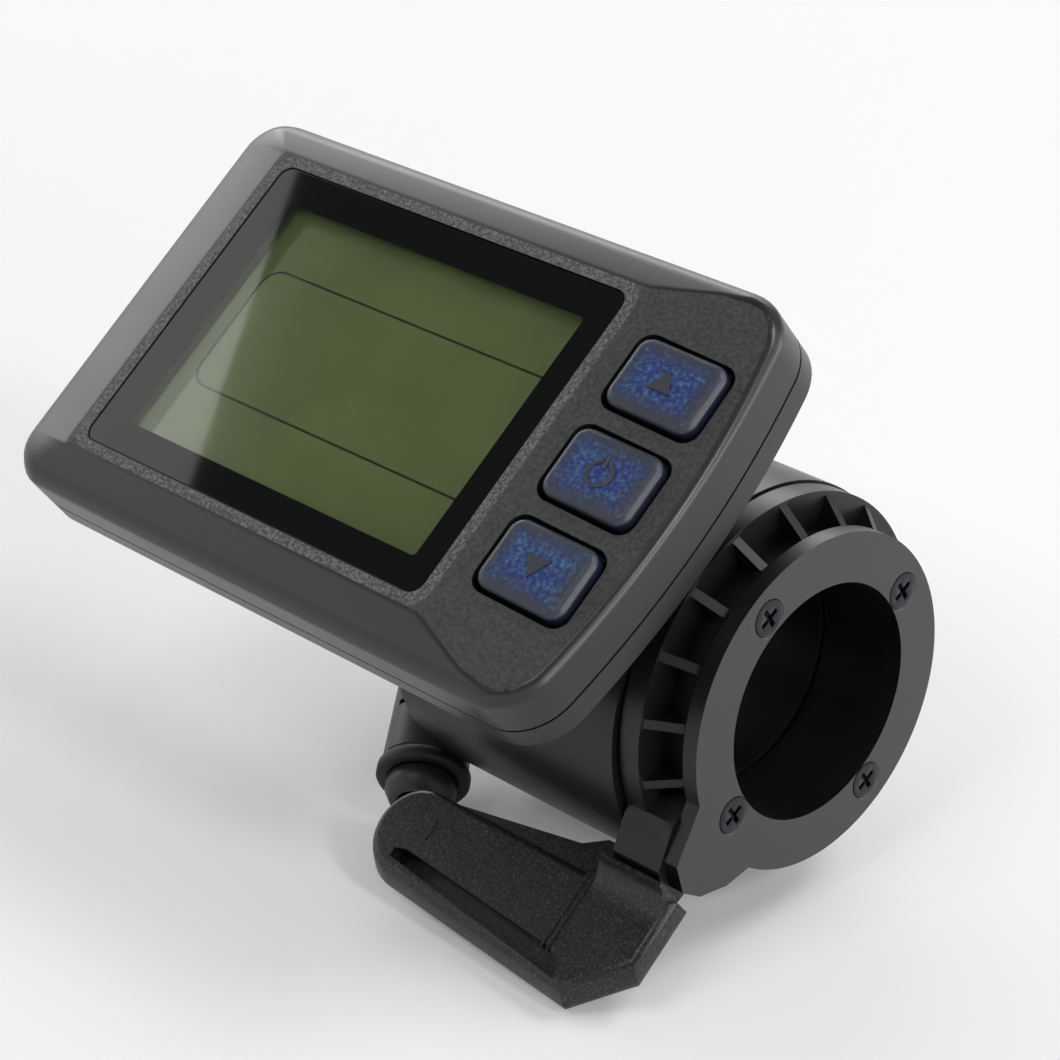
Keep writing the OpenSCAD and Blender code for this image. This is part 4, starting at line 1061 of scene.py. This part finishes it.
class DISPLAY_OT_gland(bpy.types.Operator):
    """Builds the cable gland with its slots, raised grip and tapered neck, and the dark ring on it"""

    bl_idname = "display.gland"
    bl_label = "Gland"

    def execute(self, context):
        gland = lathe(
            "cable_gland_moulded",
            (
                (3, -11.7), (3, -10.6), (3.95, -10.6), (4.05, -10.4), (4.3, -0.9), (4.2, -0.72), (3.0, -0.7),
                (3.0, 0.7), (3.3, 0.7), (3.5, 0.9), (3.5, 2.1), (3.35, 2.35), (2.9, 3.25), (2.7, 3.35),
                (2.3, 3.35), (2.2, 3.25), (2.2, -3.1),
            ),
        )
        grip = gland_arc("grip", 4.42, -62, 62, -4.9, -1.0)
        combine(grip, start_rod("core", 3.9, -6, 0))
        combine(gland, grip, "UNION")
        for low_z in (-9.8, -8.4, -7.0):
            slot = gland_arc("slot", 5, -52, 60, low_z, low_z + 0.6)
            combine(slot, start_rod("core", 3.45, -12, 0))
            combine(gland, slot)
        pocket = start_rod("pocket", 0.75, 3.9, 6, sides=32)
        make_active(pocket)
        pocket.scale = (1, 1.5, 1)
        apply_place()
        move(along_bar(pocket), (0, 0, radians(GLAND_FRONT - 8)), (0, 0, -3.1))
        combine(gland, pocket)
        round_edges(gland, 0.08 * MM, 2, 45)
        ring = lathe(
            "gland_ring_moulded",
            (
                (4.3, -0.68), (4.55, -0.6), (4.65, -0.4), (4.65, 0.4), (4.5, 0.62), (4.2, 0.68),
                (3.55, 0.68), (3.5, 0.6), (3.5, -0.6),
            ),
        )
        rubber = plain_moulded("moulded_gland_rubber", "#242526", 0.3, 0.45)
        dark = plain_moulded("moulded_seal_rubber", "#0b0b0c", 0.3, 0.6)
        for piece, material, node, slot in (
            (gland, rubber, "cable_gland", "gland_rubber"),
            (ring, dark, "gland_ring", "seal_rubber"),
        ):
            move(piece, GLAND_TURN, GLAND_PLACE)
            dress(piece, material)
            settle(piece, "housing", node, 50)
        return {"FINISHED"}


# Finishes of the pieces inside: kind, name, colour, texture in millimetres, roughness, and the nodes
INNER_FINISHES = (
    (plain_moulded, "turned_acetal", "#d8d4c6", 0.5, 0.4, "lever_bush"),
    (drawn_metal, "stamped_spring_steel", "#8d9094", 0.4, 0.3, "retaining_ring"),
    (plain_moulded, "sintered_ferrite", "#5f6063", 0.25, 0.6, "rotor_magnet"),
    (drawn_metal, "drawn_spring_wire", "#a9adb2", 0.3, 0.25, "return_spring"),
    (plain_moulded, "solder_masked_laminate", "#1d5a34", 0.6, 0.35, "hall_board", "main_board"),
    (plain_moulded, "moulded_chip_epoxy", "#1b1c1d", 0.2, 0.55, "hall_sensor", "controller_chip"),
    (plain_moulded, "extruded_lead_jacket", "#b03a2e", 0.4, 0.45, "sensor_leads"),
    (plain_moulded, "cut_seal_rubber", "#151617", 0.3, 0.7, "saddle_seal", "case_seal"),
    (drawn_metal, "zinc_plated_steel", "#9a9da1", 0.3, 0.3, "saddle_screws", "board_screws"),
    (plain_moulded, "cast_light_guide_acrylic", "#e8eadf", 1.5, 0.2, "light_guide"),
    (plain_moulded, "moulded_frame_plastic", "#17181a", 0.3, 0.5, "lcd_frame"),
    (plain_moulded, "striped_contact_rubber", "#6d6f73", 0.2, 0.6, "contact_strip"),
    (plain_moulded, "moulded_switch_plastic", "#c9cbcd", 0.4, 0.35, "tact_switches"),
    (plain_moulded, "moulded_membrane_rubber", "#46484b", 0.3, 0.6, "key_membrane"),
)


class DISPLAY_OT_inner_finishes(bpy.types.Operator):
    """Gives the pieces inside the head and the hub their materials"""

    bl_idname = "display.inner_finishes"
    bl_label = "Inner finishes"

    def execute(self, context):
        for kind, name, colour, texture_mm, roughness, *nodes in INNER_FINISHES:
            for node in nodes:
                dress(NODES[node], kind(name, colour, texture_mm, roughness))
        return {"FINISHED"}


# Studio lamps: direction in degrees from the handlebar's right-hand end, lowest and highest elevation,
# how wide each looks in degrees, and its brightness against a white card's
LAMPS = (
    ("window_low", 176, 15, 30, 52, 3.4),
    ("back_left_softbox", 136, 18, 34, 40, 4.6),
    ("back_right_softbox", 45, 45, 62, 45, 7.8),
    ("front_softbox", 270, 45, 62, 45, 4.7),
    ("right_reflector", 0, 0, 15, 45, 5.6),
    ("back_right_reflector", 45, 0, 28, 45, 3.1),
    ("front_left_reflector", 225, 15, 30, 45, 1.1),
    ("overhead_panel", 0, 72, 108, 36, 0.9),
    ("right_spot", -6, 31, 41, 10, 32),
)
LAMP_REACH = 800
BACKDROP = linear("#efeff0")
FLOOR_R = 4


def add_lamp(name, place_mm, aim_mm, width_mm, height_mm, brightness):
    light = bpy.data.lights.new(name, "AREA")
    light.shape = "RECTANGLE"
    light.size = width_mm * MM
    light.size_y = height_mm * MM
    light.energy = brightness * pi * light.size * light.size_y
    lamp = bpy.data.objects.new(name, light)
    lamp.location = Vector(place_mm) * MM
    lamp.rotation_euler = (Vector(aim_mm) - Vector(place_mm)).to_track_quat("-Z", "Y").to_euler()
    lamp.visible_camera = False
    bpy.context.scene.collection.objects.link(lamp)
    return lamp


def add_lamps():
    for name, azimuth, low, high, spread, brightness in LAMPS:
        turn, rise = radians(azimuth), radians((low + high) / 2)
        flat = cos(rise)
        place = Vector((flat * cos(turn), flat * sin(turn), sin(rise))) * LAMP_REACH
        width = 2 * LAMP_REACH * max(flat, 0.3) * tan(radians(spread / 2))
        height = 2 * LAMP_REACH * tan(radians((high - low) / 2))
        add_lamp(name, place, (0, 0, 0), width, height, brightness)
    # The upper half of the window, whose straight top edge crosses the lens's reflection
    facing, reach, top, low, start, end = radians(170.2), 657, 648, 400, -150, 420
    out = Vector((cos(facing), sin(facing), 0))
    side = Vector((-out.y, out.x, 0))
    middle = out * reach + side * (start + end) / 2 + Vector((0, 0, (top + low) / 2))
    add_lamp("window_high", middle, middle - out, end - start, top - low, 1.35)


def floor_material():
    """Matt painted studio floor: pale, and partly lit of its own so that it stays even behind the object."""
    material, tree = start_material("painted_studio_floor")
    paint_coat = add_node(tree, "BsdfDiffuse", {"Color": BACKDROP})
    glow = add_node(tree, "Emission", {"Color": BACKDROP, "Strength": 1.0})
    place = add_node(tree, "TexCoord").outputs["Object"]
    reach = worked_out(tree, place, ("LENGTH",), kind="VectorMath").outputs["Value"]
    rise = {"From Min": 0.3, "From Max": 0.8, "To Min": 0.12, "To Max": 1.0}
    glowing = add_node(tree, "MapRange", {"Value": reach, **rise})
    rays = add_node(tree, "LightPath").outputs
    mirrors = (("MAXIMUM", rays["Is Transmission Ray"]), ("MAXIMUM", rays["Is Glossy Ray"]))
    share = worked_out(tree, rays["Is Camera Ray"], *mirrors, ("MULTIPLY", glowing))
    mix = add_node(tree, "MixShader", {"Fac": share, 1: paint_coat, 2: glow})
    add_node(tree, "OutputMaterial", {"Surface": mix})
    return material


def studio_world():
    """Dim studio with a pale backdrop: the camera sees only that, and gloss sees it near the floor."""
    world = bpy.data.worlds.new("studio_world")
    world.use_nodes = True
    tree = world.node_tree
    tree.nodes.clear()
    height = add_node(tree, "SeparateXYZ", {0: add_node(tree, "TexCoord").outputs["Generated"]})
    fall = {"From Min": 0.34, "From Max": 0.24}
    low = add_node(tree, "MapRange", {"Value": height.outputs["Z"], **fall})
    rays = add_node(tree, "LightPath").outputs
    steps = (("MAXIMUM", rays["Is Transmission Ray"]), ("MULTIPLY", low), ("MAXIMUM", rays["Is Camera Ray"]))
    seen = worked_out(tree, rays["Is Glossy Ray"], *steps)
    dim = add_node(tree, "Background", {"Color": linear("#ffffff"), "Strength": 0.1})
    pale = add_node(tree, "Background", {"Color": BACKDROP, "Strength": 1.0})
    mix = add_node(tree, "MixShader", {"Fac": seen, 1: dim, 2: pale})
    add_node(tree, "OutputWorld", {"Surface": mix})
    return world


class DISPLAY_OT_stage(bpy.types.Operator):
    """Adds the floor, the lights and the camera"""

    bl_idname = "display.stage"
    bl_label = "Stage"

    def execute(self, context):
        deselect()
        bpy.ops.mesh.primitive_circle_add(
            vertices=96, radius=FLOOR_R, fill_type="NGON", location=(0, 0, CAD_BOX[0].z)
        )
        floor = context.active_object
        floor.name = "studio_floor"
        floor.data.materials.append(floor_material())
        add_lamps()
        context.scene.world = studio_world()
        optics = bpy.data.cameras.new("photo_camera")
        optics.lens = CAMERA_LENS
        optics.sensor_width = CAMERA_SENSOR
        optics.clip_start = 0.01
        camera = bpy.data.objects.new("photo_camera", optics)
        camera.location = Vector(CAMERA_PLACE) * MM
        camera.rotation_euler = Euler([radians(a) for a in CAMERA_TURN])
        context.scene.collection.objects.link(camera)
        context.scene.camera = camera
        context.scene.view_settings.view_transform = "Standard"
        return {"FINISHED"}


STEPS = (
    DISPLAY_OT_stage,
    DISPLAY_OT_front_shell,
    DISPLAY_OT_rear_shell,
    DISPLAY_OT_window,
    DISPLAY_OT_buttons,
    DISPLAY_OT_hub,
    DISPLAY_OT_paddle,
    DISPLAY_OT_end_plate,
    DISPLAY_OT_housing,
    DISPLAY_OT_gland,
    DISPLAY_OT_inner_finishes,
)


class DISPLAY_PT_sidebar(bpy.types.Panel):
    """Lists the sizes, the colours and the steps"""

    bl_idname = "DISPLAY_PT_sidebar"
    bl_label = "E-bike display"
    bl_space_type = "VIEW_3D"
    bl_region_type = "UI"
    bl_category = "E-bike display"

    def draw(self, context):
        for group in (context.scene.display_sizes, context.scene.display_colours):
            box = self.layout.box()
            for key in group.bl_rna.properties.keys():
                if key not in ("rna_type", "name"):
                    box.prop(group, key)
        for step in STEPS:
            self.layout.operator(step.bl_idname)


CLASSES = (DisplaySizes, DisplayColours, *STEPS, DISPLAY_PT_sidebar)


def register():
    for item in CLASSES:
        bpy.utils.register_class(item)
    bpy.types.Scene.display_sizes = bpy.props.PointerProperty(type=DisplaySizes)
    bpy.types.Scene.display_colours = bpy.props.PointerProperty(type=DisplayColours)


def unregister():
    del bpy.types.Scene.display_colours
    del bpy.types.Scene.display_sizes
    for item in reversed(CLASSES):
        bpy.utils.unregister_class(item)


def main():
    register()
    steps = bpy.ops.display
    steps.stage()
    steps.front_shell()
    steps.rear_shell()
    steps.window()
    steps.buttons()
    steps.hub()
    steps.paddle()
    steps.end_plate()
    steps.housing()
    steps.gland()
    steps.inner_finishes()


if __name__ == "__main__":
    main()
